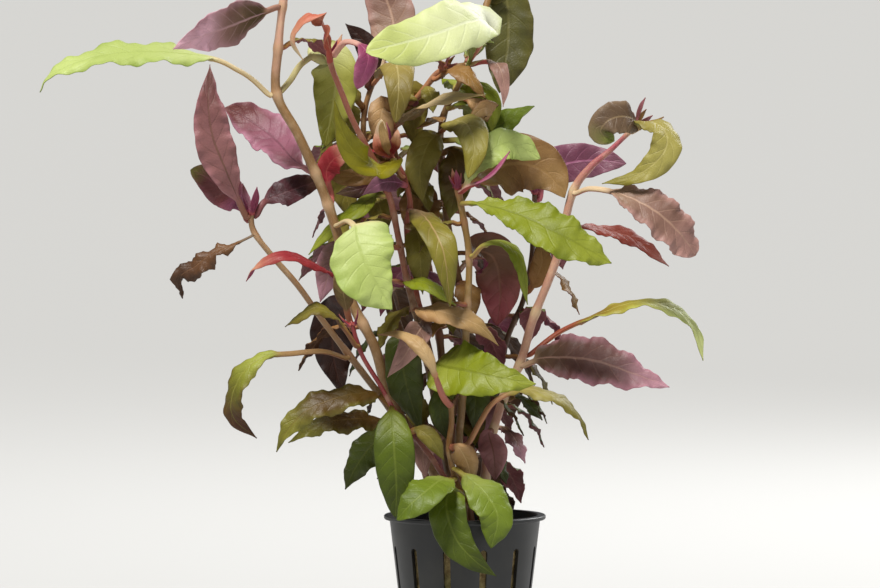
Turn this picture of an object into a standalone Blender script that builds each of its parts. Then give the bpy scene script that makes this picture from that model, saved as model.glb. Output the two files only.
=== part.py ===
"""A bunch of Alternanthera reineckii stems in a plain net pot, in metres, +Z up.

The origin is the middle of the pot's underside. +X is to the right and -Y is to the front.
Places are written in millimetres and turned into metres where a mesh is made.
"""
import math
from collections import namedtuple

import bmesh
import bpy
from mathutils import Vector

MM = 0.001
GAP = 0.35  # clear space between pieces that touch on the real plant

# Net pot
POT_HEIGHT = 50.0
RIM_RADIUS = 27.0
RIM_THICKNESS = 1.4
MOUTH_RADIUS = 24.0
WALL_TOP_RADIUS = 25.1
FOOT_RADIUS = 19.4
POT_WALL = 1.1
POT_FLOOR = 1.2
POT_STEPS = 48
MERGE_DISTANCE = 0.01
SLOTS = 12
SLOT_WIDTH = 2.4
SLOT_BOTTOM = 6.0
SLOT_TOP = 40.0
FLOOR_HOLES = 6
FLOOR_HOLE_RADIUS = 2.6
FLOOR_HOLE_RING = 12.0
FLOOR_HOLE_SIDES = 10
CUTTER_MARGIN = 2.0  # how far a cutter runs past the wall on each side

# Wool plug
WOOL_TOP = 46.0
WELL_RADIUS = 11.4
WELL_BEVEL = 1.0
WOOL_BEVEL = 1.5
WOOL_SQUEEZE = 1.5  # gap to the sloping wall, in gaps, so that the clear space across it is a full one

# The foot of the bunch: where each stem stands in the well
STEM_FOOT = 6.0
STEM_NECK = 44.0
OUTER_RING = 8.9
INNER_RING = 3.0
OUTER_ORDER = (10, 11, 9, 7, 5, 2, 1, 3, 12)
INNER_ORDER = (6, 4, 8)
INNER_TURN = math.radians(30)
STEM_SPACING = 9.0

# How the bunch opens out from front to back above the rim: share of depth added per millimetre of height
OPENING = 0.007

# Leaves
LEAF_THICKNESS = 0.6
PETIOLE_WIDTH = 1.8
LEAF_ROWS = 9
FOLD = 0.16  # how deep the blade folds along its midrib, as a share of its half width
OVAL_POWER = 0.8  # below 1: fuller towards both ends than a plain sine
TIP_HALF_WIDTH = 0.35
FOOT_CLEARANCE = 0.45  # the stalk's first point stands off the stem by this share of the stalk's width
CURVE_SAMPLES = 240

Stem = namedtuple("Stem", "radius route")
Leaf = namedtuple("Leaf", "name stem node_z width petiole face tip_face route")

# Each route runs from the wool up to the tip.
STEMS = {
    1: Stem(1.75, [(-11, -7, 66), (-24.3, -8, 88.4), (-30, -8, 106.7), (-38.3, -7, 123.4),
                   (-41.5, -7, 141), (-46.7, -7, 157.4), (-55, -8, 176.7), (-62.3, -8, 190.7),
                   (-61.8, -8, 206), (-60, -8, 221.7), (-57.5, -8, 234)]),
    2: Stem(1.25, [(-15, -2, 69), (-24, -2, 84), (-33, -4, 96.4), (-39, -6, 104.4), (-47.3, -9, 115.7),
                   (-55.3, -12, 127.4), (-64.3, -13, 138), (-70, -13, 146), (-70.7, -13, 153)]),
    3: Stem(0.95, [(-9, -15, 67), (-22, -15.5, 84), (-28, -15.5, 94.4), (-34.3, -15, 105),
                   (-37.7, -15, 116)]),
    4: Stem(1.25, [(-8.3, 1, 78.4), (-13.3, 0, 105), (-19, -2, 127.4), (-22, -3, 142), (-25, -4, 156),
                   (-29.3, -5, 166.7), (-36.7, -8, 181), (-41, -9, 191.7), (-44.5, -9, 201),
                   (-44.3, -9, 205.7)]),
    5: Stem(1.2, [(-15, 8, 88), (-25, 10, 122), (-32, 10, 155), (-34, 10, 180), (-31, 10, 193.4),
                  (-29.3, 10, 197.4)]),
    6: Stem(1.15, [(-5, 3, 80), (-12, 5, 105), (-17, 5, 128), (-19.5, 4, 145), (-18.3, 3, 154),
                   (-21, 3, 164), (-26, 3, 171)]),
    7: Stem(1.3, [(-6, 9, 80), (-10, 13, 120), (-17, 14, 150), (-24, 13, 172), (-21.7, 12, 182.4),
                  (-15.7, 10, 189), (-10, 9, 196), (-5, 8, 200)]),
    8: Stem(1.4, [(-2, -5, 72), (-1, -6, 88), (0.7, -6, 118.4), (1.3, -6, 136.7), (-0.7, -6, 150),
                  (-2.7, -6, 160.7)]),
    9: Stem(1.3, [(2, 10, 80), (-1, 12, 120), (-7.3, 11, 156.7), (-7.7, 10, 180), (-2, 9, 193),
                  (1.7, 8, 203.4)]),
    10: Stem(1.5, [(7, 0, 59), (7.7, 0, 71.4), (13.3, 1, 90), (18.7, 2, 101), (22.7, 2, 115),
                   (30.7, 2, 135.7), (35.7, 2, 156.7), (41.7, 2, 165.7), (49, 2, 172), (58.3, 2, 181)]),
    11: Stem(1.1, [(9, 9, 75), (13.3, 12, 104.4), (20, 13, 121.7), (23, 13, 140), (23.5, 12, 158)]),
    12: Stem(1.2, [(1, -12, 56), (-3, -14, 62.7), (-5.3, -15, 73.4), (-4.5, -15.5, 82), (-4.7, -16, 90)]),
}

UP_FRONT = (0, -0.5, 0.85)
FRONT = (0, -1, 0.15)
FLAT = (0, -0.3, 0.95)
AWAY = (-0.1, 0.9, 0.4)

# Each route runs from just off the stem to the leaf's tip. face is where the upper side looks.
LEAVES = [
    Leaf("leaf_long_left", 1, 190.7, 14, 0.28, UP_FRONT, UP_FRONT,
         [(-70, -9, 195.4), (-75, -10, 198.7), (-84, -12, 202.7), (-104, -15, 204.7), (-122, -17, 203),
          (-136, -17, 197), (-139.7, -16, 191.7)]),
    Leaf("leaf_top_left", 1, 219.5, 15, 0.12, AWAY, AWAY,
         [(-66, -10, 218), (-77, -14, 213.5), (-87, -17, 210), (-95.7, -18, 206)]),
    Leaf("leaf_left_upright", 2, 151, 13, 0.12, (0.2, -1, 0.1), (0.2, -1, 0.1),
         [(-75.7, -15, 158.4), (-79, -17, 166.7), (-83, -17, 177), (-84.5, -16, 188), (-84, -13, 200.7)]),
    Leaf("leaf_left_mauve", 1, 164.5, 15.5, 0.1, (0.2, -0.9, 0.4), (0.2, -0.9, 0.4),
         [(-57, -2, 168.5), (-64, 4, 175.5), (-72, 7, 181), (-80.3, 8, 185.4)]),
    Leaf("leaf_dark_mauve", 2, 151, 9.5, 0.15, (0.1, -0.95, 0.3), (0.1, -0.95, 0.3),
         [(-66, -11, 155.4), (-59, -3, 158), (-51, 2, 160.5), (-43.3, 4, 162.4)]),
    Leaf("leaf_withered", 2, 144.5, 7, 0.15, FLAT, (0.6, -0.7, 0.3),
         [(-76.3, -17, 141.4), (-83.3, -18, 138.5), (-89, -18, 134), (-94, -17, 130.5),
          (-93.3, -15, 123.4)]),
    Leaf("leaf_crimson_arch", 1, 129, 9, 0.12, (0, -0.6, 0.8), FLAT,
         [(-46, -15, 132.5), (-53.3, -21, 137), (-61, -24, 138.7), (-68.3, -24, 135), (-72, -22, 129.7)]),
    Leaf("leaf_low_left", 2, 104.4, 9, 0.4, UP_FRONT, (-0.6, -0.7, 0.4),
         [(-47, -12, 105.5), (-57, -14, 105), (-66, -16, 104), (-73, -17, 99), (-77, -17, 90),
          (-76, -16, 83), (-69, -14, 76.7)]),
    Leaf("leaf_olive_arch", 3, 108, 8, 0.3, FLAT, UP_FRONT,
         [(-39.7, -19, 113.5), (-44, -21, 118.6), (-49, -22, 120.6), (-55, -22, 117.7),
          (-59.3, -20, 114.4)]),
    Leaf("leaf_brown_low", 1, 88.4, 11, 0.15, (0, -0.75, 0.65), (0, -0.75, 0.65),
         [(-30, -14, 91.5), (-40, -18, 91), (-52, -21, 86.5), (-59.7, -22, 78.4), (-62.3, -21, 72.7)]),
    Leaf("leaf_brown_under", 2, 80, 9.5, 0.15, (0, -0.75, 0.65), (0, -0.75, 0.65),
         [(-29, -4, 82), (-41.7, -8, 82), (-50, -9, 80), (-58.7, -8, 74.7)]),
    Leaf("leaf_front_hanging", 3, 87, 13.5, 0.06, FRONT, FRONT,
         [(-24, -21, 84), (-23.5, -26, 75), (-22.7, -28, 62), (-23, -29, 51.4)]),
    Leaf("leaf_low_red_brown", 2, 76, 11.5, 0.15, (-0.3, -0.9, 0.2), (-0.3, -0.9, 0.2),
         [(-24, -1, 77), (-30, 1, 74), (-36, 3, 66), (-40, 4, 58)]),
    Leaf("leaf_lime_broad", 1, 147, 24, 0.38, (0.1, -0.85, 0.5), (0.1, -0.85, 0.5),
         [(-39, -14, 149), (-36.5, -19, 147.5), (-35, -22.5, 142), (-31, -26, 132.5), (-24, -27, 120.7)]),
    Leaf("leaf_purple_hanging", 4, 204, 7.5, 0.48, (0.4, -0.8, 0.4), (0.4, -0.9, 0.1),
         [(-39.5, -12, 208), (-34.5, -15, 207), (-32, -17, 202.5), (-35.5, -17, 192.8)]),
    Leaf("leaf_coral_curl", 4, 202, 6, 0.15, (-0.3, -0.3, 0.9), (-0.9, -0.3, 0.1),
         [(-45.5, -14, 209), (-47, -15, 215), (-51, -16, 217), (-55.5, -16, 213), (-57, -16, 208),
          (-53, -16, 202)]),
    Leaf("leaf_grey_mauve_top", 5, 195.5, 16, 0.15, (-0.1, -0.9, 0.2), (-0.1, -0.9, 0.2),
         [(-26, 13, 205), (-24, 15, 213), (-27, 16, 223), (-31, 15, 232), (-36, 13, 240)]),
    Leaf("leaf_hanging_green", 1, 190.7, 15.5, 0.36, (0, -0.5, 0.9), FRONT,
         [(-58, -4, 195), (-54, -1, 200.7), (-47, 1, 203.9), (-43.3, 1, 198), (-43.7, 1, 188),
          (-46.7, 0, 172.7)]),
    Leaf("leaf_glowing", 6, 168, 11, 0.1, (-0.2, -0.6, 0.8), (-0.5, -0.8, 0.3),
         [(-25.5, -11, 167), (-31, -15, 167.5), (-37, -18, 173), (-41, -19, 181), (-43, -19, 190)]),
    Leaf("leaf_pink_midrib", 6, 152, 11, 0.12, (0.2, -0.9, 0.3), (0.2, -0.9, 0.3),
         [(-15, -5, 151), (-11, -15, 147), (-7, -20, 138), (-5, -21, 121)]),
    Leaf("leaf_cream_hanging", 5, 194, 11.5, 0.12, UP_FRONT, FRONT,
         [(-26, 4, 199), (-23, -2, 200.5), (-22, -7, 193), (-23, -8, 181)]),
    Leaf("leaf_pale_top", 9, 202, 19, 0.25, (0, -0.95, 0.35), (0, -0.95, 0.35),
         [(6.3, 2, 209), (6.6, -4, 214.5), (1, -9, 214.5), (-9, -13, 211), (-20, -16, 208),
          (-32.5, -19, 205)]),
    Leaf("leaf_dark_olive_top", 9, 199, 18, 0.4, (0.1, -0.95, 0.2), (0.1, -0.95, 0.2),
         [(5, 13, 209), (7.5, 15, 220), (11, 17, 226), (14.3, 18, 221), (14.5, 17, 206), (11.7, 15, 190)]),
    Leaf("leaf_green_right", 9, 174, 12, 0.12, (-0.3, -0.7, 0.6), (-0.3, -0.7, 0.6),
         [(0, 9, 175), (9, 9, 178), (16, 8, 182), (23.3, 7, 186)]),
    Leaf("leaf_cream_tan", 7, 180, 10.5, 0.15, UP_FRONT, UP_FRONT,
         [(-17, 1, 184), (-11.7, -5, 187.4), (-2, -8, 190), (6.7, -9, 190.4)]),
    Leaf("leaf_cream_olive", 9, 178, 11.5, 0.15, UP_FRONT, FRONT,
         [(-4, 2, 181), (1, -5, 180), (3, -10, 173), (1, -12, 163)]),
    Leaf("leaf_tan_broad", 8, 159.5, 21, 0.12, (-0.1, -0.95, 0.3), (-0.1, -0.95, 0.3),
         [(3, -5, 162), (8.3, -1, 164.8), (18.5, 2, 167), (27.7, 2, 163.5), (33.3, 1, 155.7)]),
    Leaf("leaf_yellow_green_right", 8, 154, 17, 0.1, (0.1, -0.8, 0.55), (0.1, -0.8, 0.55),
         [(5, -13, 154.5), (18.3, -19, 151), (31.7, -23, 144.7), (48, -23, 135.7)]),
    Leaf("leaf_purple_right", 11, 155, 13, 0.12, FRONT, FRONT,
         [(27, 13, 163), (35, 14, 166.5), (45, 14, 167.5), (54.3, 13, 166.4)]),
    Leaf("leaf_brown_curl", 10, 180, 11.5, 0.08, (0, -0.9, 0.3), (0, -0.9, 0.3),
         [(55, -3, 182.5), (51, -5, 183), (47, -6, 181.5), (45, -6, 178), (49.5, -5, 175)]),
    Leaf("leaf_yellow_curl", 10, 178, 11, 0.12, (0.5, -0.6, 0.6), (0.3, -0.8, 0.5),
         [(62, -4, 181), (66.5, -7, 177), (65, -9, 170.5), (57, -9, 164), (45.3, -8, 161)]),
    Leaf("leaf_dusty_mauve_right", 10, 158, 16, 0.3, (0.1, -0.8, 0.6), (0.1, -0.8, 0.6),
         [(42, -3, 159), (51, -8, 157.6), (62, -11, 152.4), (70, -11, 145.5), (76.3, -9, 137.2)]),
    Leaf("leaf_long_right_arch", 10, 104, 9, 0.28, FLAT, FLAT,
         [(31.7, 4, 110.7), (45, 2, 116.7), (57.7, 0, 120.7), (70, -2, 118.5), (76.7, -3, 111.7),
          (79.3, -3, 101.7)]),
    Leaf("leaf_big_mauve_right", 10, 100, 17.5, 0.12, (0, -0.85, 0.5), (0, -0.85, 0.5),
         [(27, -4, 102.5), (41.7, -10, 102.4), (56, -13, 98), (67.7, -13, 93.7)]),
    Leaf("leaf_bright_middle", 4, 101, 20, 0.24, (0, -0.9, 0.4), (0, -0.9, 0.4),
         [(-8.5, -11, 100.5), (0.5, -18.5, 99.5), (11, -23, 97.6), (23.3, -24, 95.7)]),
    Leaf("leaf_tan_strip", 12, 88.5, 5.5, 0.45, (-0.5, -0.6, 0.6), UP_FRONT,
         [(-7.5, -25, 92), (-10.5, -30, 100.5), (-14.5, -29, 108.5), (-21, -24, 112.5), (-28.7, -22, 112)]),
    Leaf("leaf_peach", 4, 119, 10, 0.12, (0, -0.7, 0.7), (0, -0.7, 0.7),
         [(-12, -11, 119.5), (-4, -16, 117.7), (4.5, -17, 114.3), (11, -16, 107.7)]),
    Leaf("leaf_rose_hanging", 8, 136, 16, 0.12, FRONT, FRONT,
         [(5, 3, 137.5), (10, 7, 134.5), (12, 8, 124), (10.7, 7, 112.7)]),
    Leaf("leaf_dark_inner", 4, 110, 13, 0.12, (-0.2, -1, 0.15), (-0.2, -1, 0.15),
         [(-19, -8, 110), (-20.8, -11, 105), (-19.7, -12, 96), (-17.5, -12.5, 88), (-14.5, -12, 79)]),
    Leaf("leaf_foot_light_green", 12, 63.5, 14.5, 0.2, (-0.2, -0.8, 0.6), (-0.2, -0.8, 0.6),
         [(-8, -26, 63.5), (-12.5, -36, 61), (-17.5, -40, 57), (-22.5, -40, 51.5)]),
    Leaf("leaf_foot_long_green", 12, 59, 12.7, 0.12, (-0.2, -0.95, 0.2), (-0.2, -0.95, 0.2),
         [(-5, -25, 60), (-6, -32, 54), (-3, -35, 45), (3, -36, 38), (10.3, -35, 32.5)]),
    Leaf("leaf_foot_right", 12, 66.5, 14.5, 0.15, (0.3, -0.6, 0.7), (0.4, -0.9, 0.2),
         [(0.5, -20, 64), (6.5, -26, 59), (10.5, -30.5, 51.5), (8.5, -32, 41.5)]),
    Leaf("leaf_low_right_arch", 12, 73, 10, 0.42, FLAT, FLAT,
         [(1, -14, 75), (5, -13, 82), (9.5, -12, 88.5), (18, -11, 92.5), (26, -11, 91.5), (33, -11, 88.5),
          (38, -10, 83), (41, -9, 75.7)]),
    Leaf("leaf_back_left", 7, 150, 14, 0.15, (0.1, 0.6, 0.8), (0.1, 0.8, 0.5),
         [(-19, 19, 153), (-25, 27, 154), (-31, 34, 148), (-34, 39, 139)]),
    Leaf("leaf_back_right", 9, 130, 14, 0.15, (0, 0.6, 0.8), (0, 0.8, 0.5),
         [(1, 18, 133), (7, 26, 134), (12, 34, 128), (14, 40, 119)]),
]


def clear_scene():
    for obj in list(bpy.data.objects):
        bpy.data.objects.remove(obj, do_unlink=True)


def new_collection(name):
    group = bpy.data.collections.new(name)
    bpy.context.scene.collection.children.link(group)
    return group


def plain_material(name, colour, roughness):
    material = bpy.data.materials.new(name)
    material.use_nodes = True
    shader = material.node_tree.nodes["Principled BSDF"]
    shader.inputs["Base Color"].default_value = (*colour, 1.0)
    shader.inputs["Roughness"].default_value = roughness
    return material


def add_object(name, data, group, material):
    obj = bpy.data.objects.new(name, data)
    group.objects.link(obj)
    obj.data.materials.append(material)
    return obj


def smooth_route(points, count):
    """Evenly spaced points on a smooth curve through the given points."""
    ends = [2 * points[0] - points[1]] + list(points) + [2 * points[-1] - points[-2]]
    fine = []
    per_span = max(4, CURVE_SAMPLES // (len(points) - 1))
    for index in range(len(points) - 1):
        before, start, end, after = ends[index:index + 4]
        for step in range(per_span):
            t = step / per_span
            fine.append(0.5 * (2 * start + (end - before) * t
                               + (2 * before - 5 * start + 4 * end - after) * t * t
                               + (3 * start - before - 3 * end + after) * t ** 3))
    fine.append(points[-1])
    run = [0.0]
    for first, second in zip(fine, fine[1:]):
        run.append(run[-1] + (second - first).length)
    even = []
    index = 0
    for step in range(count):
        wanted = run[-1] * step / (count - 1)
        while index < len(run) - 2 and run[index + 1] < wanted:
            index += 1
        share = (wanted - run[index]) / (run[index + 1] - run[index])
        even.append(fine[index].lerp(fine[index + 1], min(1.0, share)))
    return even


def opened(point):
    """A written point, moved further from the middle in depth the higher it stands."""
    x, y, z = point
    return Vector((x, y * (1 + OPENING * max(0.0, z - POT_HEIGHT)), z))


def stem_places():
    """The X and Y of each stem in the well, on an outer and an inner ring."""
    places = {}
    for order, radius in ((OUTER_ORDER, OUTER_RING), (INNER_ORDER, INNER_RING)):
        for index, number in enumerate(order):
            angle = 2 * math.pi * index / len(order) + (INNER_TURN if radius == INNER_RING else 0)
            places[number] = (radius * math.cos(angle), radius * math.sin(angle))
    return places


def stem_route(number):
    x, y = stem_places()[number]
    foot = [Vector((x, y, STEM_FOOT)), Vector((x, y, STEM_NECK))]
    return foot + [opened(point) for point in STEMS[number].route]


def stem_node(number, height):
    """A stem's centre at the given height, and the way it runs there."""
    line = smooth_route(stem_route(number), CURVE_SAMPLES)
    index = min(range(1, len(line)), key=lambda i: abs(line[i].z - height))
    return line[index], (line[index] - line[index - 1]).normalized()


def make_stem(number, group, material):
    route = stem_route(number)
    length = sum((b - a).length for a, b in zip(route, route[1:]))
    points = smooth_route(route, max(6, round(length / STEM_SPACING)))
    curve = bpy.data.curves.new(f"stem_{number}", "CURVE")
    curve.dimensions = "3D"
    curve.bevel_depth = STEMS[number].radius * MM
    curve.bevel_resolution = 1
    curve.use_fill_caps = True
    spline = curve.splines.new("POLY")
    spline.points.add(len(points) - 1)
    for spot, point in zip(spline.points, points):
        spot.co = (*(point * MM), 1.0)
    return add_object(f"stem_{number}", curve, group, material)


def blade_half_width(leaf, share):
    """Half the leaf's width at a share of the way from its foot to its tip."""
    stalk = PETIOLE_WIDTH / 2
    if share <= leaf.petiole:
        return stalk
    along = (share - leaf.petiole) / (1 - leaf.petiole)
    oval = math.sin(math.pi * along ** OVAL_POWER) ** OVAL_POWER if along < 1 else 0.0
    return max(TIP_HALF_WIDTH, stalk * (1 - along), leaf.width / 2 * oval)


def leaf_route(leaf):
    """The midrib, from just off the stem's side to the tip."""
    centre, up_stem = stem_node(leaf.stem, leaf.node_z)
    away = opened(leaf.route[0]) - centre
    away = (away - up_stem * away.dot(up_stem)).normalized()
    reach = STEMS[leaf.stem].radius + GAP + PETIOLE_WIDTH * FOOT_CLEARANCE
    return [centre + away * reach] + [opened(point) for point in leaf.route]


def make_leaf(leaf, group, material):
    """A grid drawn onto the leaf's shape, folded a little along the midrib, then given a thickness."""
    line = smooth_route(leaf_route(leaf), LEAF_ROWS + 1)
    grid = bmesh.new()
    bmesh.ops.create_grid(grid, x_segments=2, y_segments=LEAF_ROWS, size=0.5)
    for vertex in grid.verts:
        share = vertex.co.y + 0.5
        across = vertex.co.x * 2
        row = round(share * LEAF_ROWS)
        before = line[max(0, row - 1)]
        after = line[min(LEAF_ROWS, row + 1)]
        along = (after - before).normalized()
        face = Vector(leaf.face).lerp(Vector(leaf.tip_face), share)
        up = (face - along * face.dot(along)).normalized()
        side = along.cross(up)
        half = blade_half_width(leaf, share)
        vertex.co = (line[row] + side * half * across + up * half * FOLD * abs(across)) * MM
    mesh = bpy.data.meshes.new(leaf.name)
    grid.to_mesh(mesh)
    grid.free()
    obj = add_object(leaf.name, mesh, group, material)
    solid = obj.modifiers.new("thickness", "SOLIDIFY")
    solid.thickness = LEAF_THICKNESS * MM
    solid.offset = 0.0
    return obj


def turned(name, profile, group, material):
    """A profile of (radius, height) pairs in millimetres, turned round the Z axis."""
    mesh = bpy.data.meshes.new(name)
    vertices = [(radius * MM, 0.0, height * MM) for radius, height in profile]
    edges = [(index, index + 1) for index in range(len(profile) - 1)]
    mesh.from_pydata(vertices, edges, [])
    obj = add_object(name, mesh, group, material)
    screw = obj.modifiers.new("turn", "SCREW")
    screw.steps = POT_STEPS
    screw.render_steps = POT_STEPS
    screw.use_merge_vertices = True
    screw.merge_threshold = MERGE_DISTANCE * MM
    return obj


def make_cutter(name, group, build):
    """A closed cutter mesh filled in by build, hidden from renders."""
    mesh = bpy.data.meshes.new(name)
    shape = bmesh.new()
    build(shape)
    shape.to_mesh(mesh)
    shape.free()
    obj = bpy.data.objects.new(name, mesh)
    group.objects.link(obj)
    obj.hide_render = True
    obj.display_type = "WIRE"
    return obj


def add_slots(shape):
    """Upright slots round the wall, each cut by one box."""
    inside = FOOT_RADIUS - POT_WALL - CUTTER_MARGIN
    outside = RIM_RADIUS + CUTTER_MARGIN
    for index in range(SLOTS):
        angle = 2 * math.pi * (index + 0.5) / SLOTS
        made = bmesh.ops.create_cube(shape, size=1.0)["verts"]
        for vertex in made:
            x = (inside + outside) / 2 + vertex.co.x * (outside - inside)
            y = vertex.co.y * SLOT_WIDTH
            z = (SLOT_BOTTOM + SLOT_TOP) / 2 + vertex.co.z * (SLOT_TOP - SLOT_BOTTOM)
            turned_x = x * math.cos(angle) - y * math.sin(angle)
            turned_y = x * math.sin(angle) + y * math.cos(angle)
            vertex.co = Vector((turned_x, turned_y, z)) * MM


def add_floor_holes(shape):
    depth = 2 * (POT_FLOOR + CUTTER_MARGIN)
    for index in range(FLOOR_HOLES):
        angle = 2 * math.pi * index / FLOOR_HOLES
        made = bmesh.ops.create_cone(shape, cap_ends=True, segments=FLOOR_HOLE_SIDES,
                                     radius1=FLOOR_HOLE_RADIUS * MM, radius2=FLOOR_HOLE_RADIUS * MM,
                                     depth=depth * MM)["verts"]
        place = Vector((FLOOR_HOLE_RING * math.cos(angle), FLOOR_HOLE_RING * math.sin(angle), 0.0)) * MM
        for vertex in made:
            vertex.co += place


def cut(obj, cutter):
    boolean = obj.modifiers.new(cutter.name, "BOOLEAN")
    boolean.operation = "DIFFERENCE"
    boolean.solver = "EXACT"
    boolean.object = cutter


def make_pot(group, cutters, material):
    inner_foot = FOOT_RADIUS - POT_WALL
    profile = [(0.0, POT_FLOOR), (inner_foot, POT_FLOOR), (MOUTH_RADIUS, POT_HEIGHT),
               (RIM_RADIUS, POT_HEIGHT), (RIM_RADIUS, POT_HEIGHT - RIM_THICKNESS),
               (WALL_TOP_RADIUS, POT_HEIGHT - RIM_THICKNESS), (FOOT_RADIUS, 0.0), (0.0, 0.0)]
    pot = turned("net_pot", profile, group, material)
    cut(pot, make_cutter("wall_slots", cutters, add_slots))
    cut(pot, make_cutter("floor_holes", cutters, add_floor_holes))


def pot_inner_radius(height):
    """The radius of the pot's inside at a height."""
    share = (height - POT_FLOOR) / (POT_HEIGHT - POT_FLOOR)
    return FOOT_RADIUS - POT_WALL + share * (MOUTH_RADIUS - FOOT_RADIUS + POT_WALL)


def make_wool(group, material):
    bottom = POT_FLOOR + GAP
    shrink = GAP * WOOL_SQUEEZE
    profile = [(WELL_RADIUS, bottom), (WELL_RADIUS, WOOL_TOP - WELL_BEVEL),
               (WELL_RADIUS + WELL_BEVEL, WOOL_TOP),
               (pot_inner_radius(WOOL_TOP) - shrink - WOOL_BEVEL, WOOL_TOP),
               (pot_inner_radius(WOOL_TOP - WOOL_BEVEL) - shrink, WOOL_TOP - WOOL_BEVEL),
               (pot_inner_radius(bottom) - shrink, bottom), (WELL_RADIUS, bottom)]
    turned("wool_plug", profile, group, material)


def main():
    clear_scene()
    parts = new_collection("alternanthera_reineckii")
    cutters = new_collection("cutters")
    make_pot(parts, cutters, plain_material("pot_plastic", (0.02, 0.02, 0.02), 0.45))
    make_wool(parts, plain_material("mineral_wool", (0.55, 0.48, 0.33), 0.95))
    for number in STEMS:
        make_stem(number, parts, plain_material(f"stem_{number}_skin", (0.5, 0.3, 0.2), 0.5))
    for leaf in LEAVES:
        make_leaf(leaf, parts, plain_material(f"{leaf.name}_blade", (0.25, 0.35, 0.08), 0.5))


main()
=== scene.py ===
# %% [markdown]
# # Alternanthera reineckii in a net pot
#
# A bunch of twelve stems stands in a slotted plastic pot. Every stem carries leaves in pairs: a leaf is a
# thin blade on a short stalk, folded a little along its midrib, with wavy edges.
# Such a plant could be scanned, sculpted leaf by leaf, or grown by a particle system. Here each stem and
# leaf is a route, a short list of points, and a fine skin is drawn along it. That keeps every piece where
# the solid model has it, and one leaf can be changed without touching the others.

# %% Load the frame
import math
import random
from collections import namedtuple

import bmesh
import bpy
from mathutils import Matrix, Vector, noise


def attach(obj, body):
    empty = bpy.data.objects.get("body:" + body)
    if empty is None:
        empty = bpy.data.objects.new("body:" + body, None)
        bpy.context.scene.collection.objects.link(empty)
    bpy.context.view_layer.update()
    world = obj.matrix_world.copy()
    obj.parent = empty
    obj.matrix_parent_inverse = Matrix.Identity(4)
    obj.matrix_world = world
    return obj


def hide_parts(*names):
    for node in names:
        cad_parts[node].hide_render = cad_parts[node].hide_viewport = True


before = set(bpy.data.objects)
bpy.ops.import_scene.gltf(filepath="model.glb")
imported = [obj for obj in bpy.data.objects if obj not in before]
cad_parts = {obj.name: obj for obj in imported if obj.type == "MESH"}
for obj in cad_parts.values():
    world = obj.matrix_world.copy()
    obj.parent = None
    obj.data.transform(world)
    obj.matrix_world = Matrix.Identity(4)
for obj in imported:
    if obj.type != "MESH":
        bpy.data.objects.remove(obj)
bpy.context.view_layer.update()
MM = 0.001


# %% [markdown]
# ## The stems' routes
#
# A real stem is a soft tube that leans out of the pot and bends at its joints. It is written as its radius
# and the points that its centre line passes, in millimetres, from just above the pot to the tip. Below
# the first point it stands upright in the wool.
# A curve object with handles could draw the same line. A plain list of points is easier to measure, and
# the leaves ask it later where a stem is at their height.

# %% Stem routes
Stem = namedtuple("Stem", "radius route")
STEMS = {
    1: Stem(1.75, [(-11, -7, 66), (-24.3, -8, 88.4), (-30, -8, 106.7), (-38.3, -7, 123.4),
                   (-41.5, -7, 141), (-46.7, -7, 157.4), (-55, -8, 176.7), (-62.3, -8, 190.7),
                   (-61.8, -8, 206), (-60, -8, 221.7), (-57.5, -8, 234)]),
    2: Stem(1.25, [(-15, -2, 69), (-24, -2, 84), (-33, -4, 96.4), (-39, -6, 104.4), (-47.3, -9, 115.7),
                   (-55.3, -12, 127.4), (-64.3, -13, 138), (-70, -13, 146), (-70.7, -13, 153)]),
    3: Stem(0.95, [(-9, -15, 67), (-22, -15.5, 84), (-28, -15.5, 94.4), (-34.3, -15, 105),
                   (-37.7, -15, 116)]),
    4: Stem(1.25, [(-8.3, 1, 78.4), (-13.3, 0, 105), (-19, -2, 127.4), (-22, -3, 142), (-25, -4, 156),
                   (-29.3, -5, 166.7), (-36.7, -8, 181), (-41, -9, 191.7), (-44.5, -9, 201),
                   (-44.3, -9, 205.7)]),
    5: Stem(1.2, [(-15, 8, 88), (-25, 10, 122), (-32, 10, 155), (-34, 10, 180), (-31, 10, 193.4),
                  (-29.3, 10, 197.4)]),
    6: Stem(1.15, [(-5, 3, 80), (-12, 5, 105), (-17, 5, 128), (-19.5, 4, 145), (-18.3, 3, 154),
                   (-21, 3, 164), (-26, 3, 171)]),
    7: Stem(1.3, [(-6, 9, 80), (-10, 13, 120), (-17, 14, 150), (-24, 13, 172), (-21.7, 12, 182.4),
                  (-15.7, 10, 189), (-10, 9, 196), (-5, 8, 200)]),
    8: Stem(1.4, [(-2, -5, 72), (-1, -6, 88), (0.7, -6, 118.4), (1.3, -6, 136.7), (-0.7, -6, 150),
                  (-2.7, -6, 160.7)]),
    9: Stem(1.3, [(2, 10, 80), (-1, 12, 120), (-7.3, 11, 156.7), (-7.7, 10, 180), (-2, 9, 193),
                  (1.7, 8, 203.4)]),
    10: Stem(1.5, [(7, 0, 59), (7.7, 0, 71.4), (13.3, 1, 90), (18.7, 2, 101), (22.7, 2, 115),
                   (30.7, 2, 135.7), (35.7, 2, 156.7), (41.7, 2, 165.7), (49, 2, 172), (58.3, 2, 181)]),
    11: Stem(1.1, [(9, 9, 75), (13.3, 12, 104.4), (20, 13, 121.7), (23, 13, 140), (23.5, 12, 158)]),
    12: Stem(1.2, [(1, -12, 56), (-3, -14, 62.7), (-5.3, -15, 73.4), (-4.5, -15.5, 82), (-4.7, -16, 90)]),
}
print(len(STEMS), "stem routes")

# %% [markdown]
# ## Smooth lines through the points
#
# A real bunch opens out from front to back as it rises, so the written depth grows with height.
# Straight pieces between the points would look like bent wire. A spline that passes through every point
# gives the curve of a growing stem, and evenly spaced samples keep the skin's rows equally long.

# %% Smooth lines
POT_HEIGHT = 50.0
OPENING = 0.007
CURVE_SAMPLES = 240
LEAST_SAMPLES = 4
TINY = 1e-9


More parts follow.
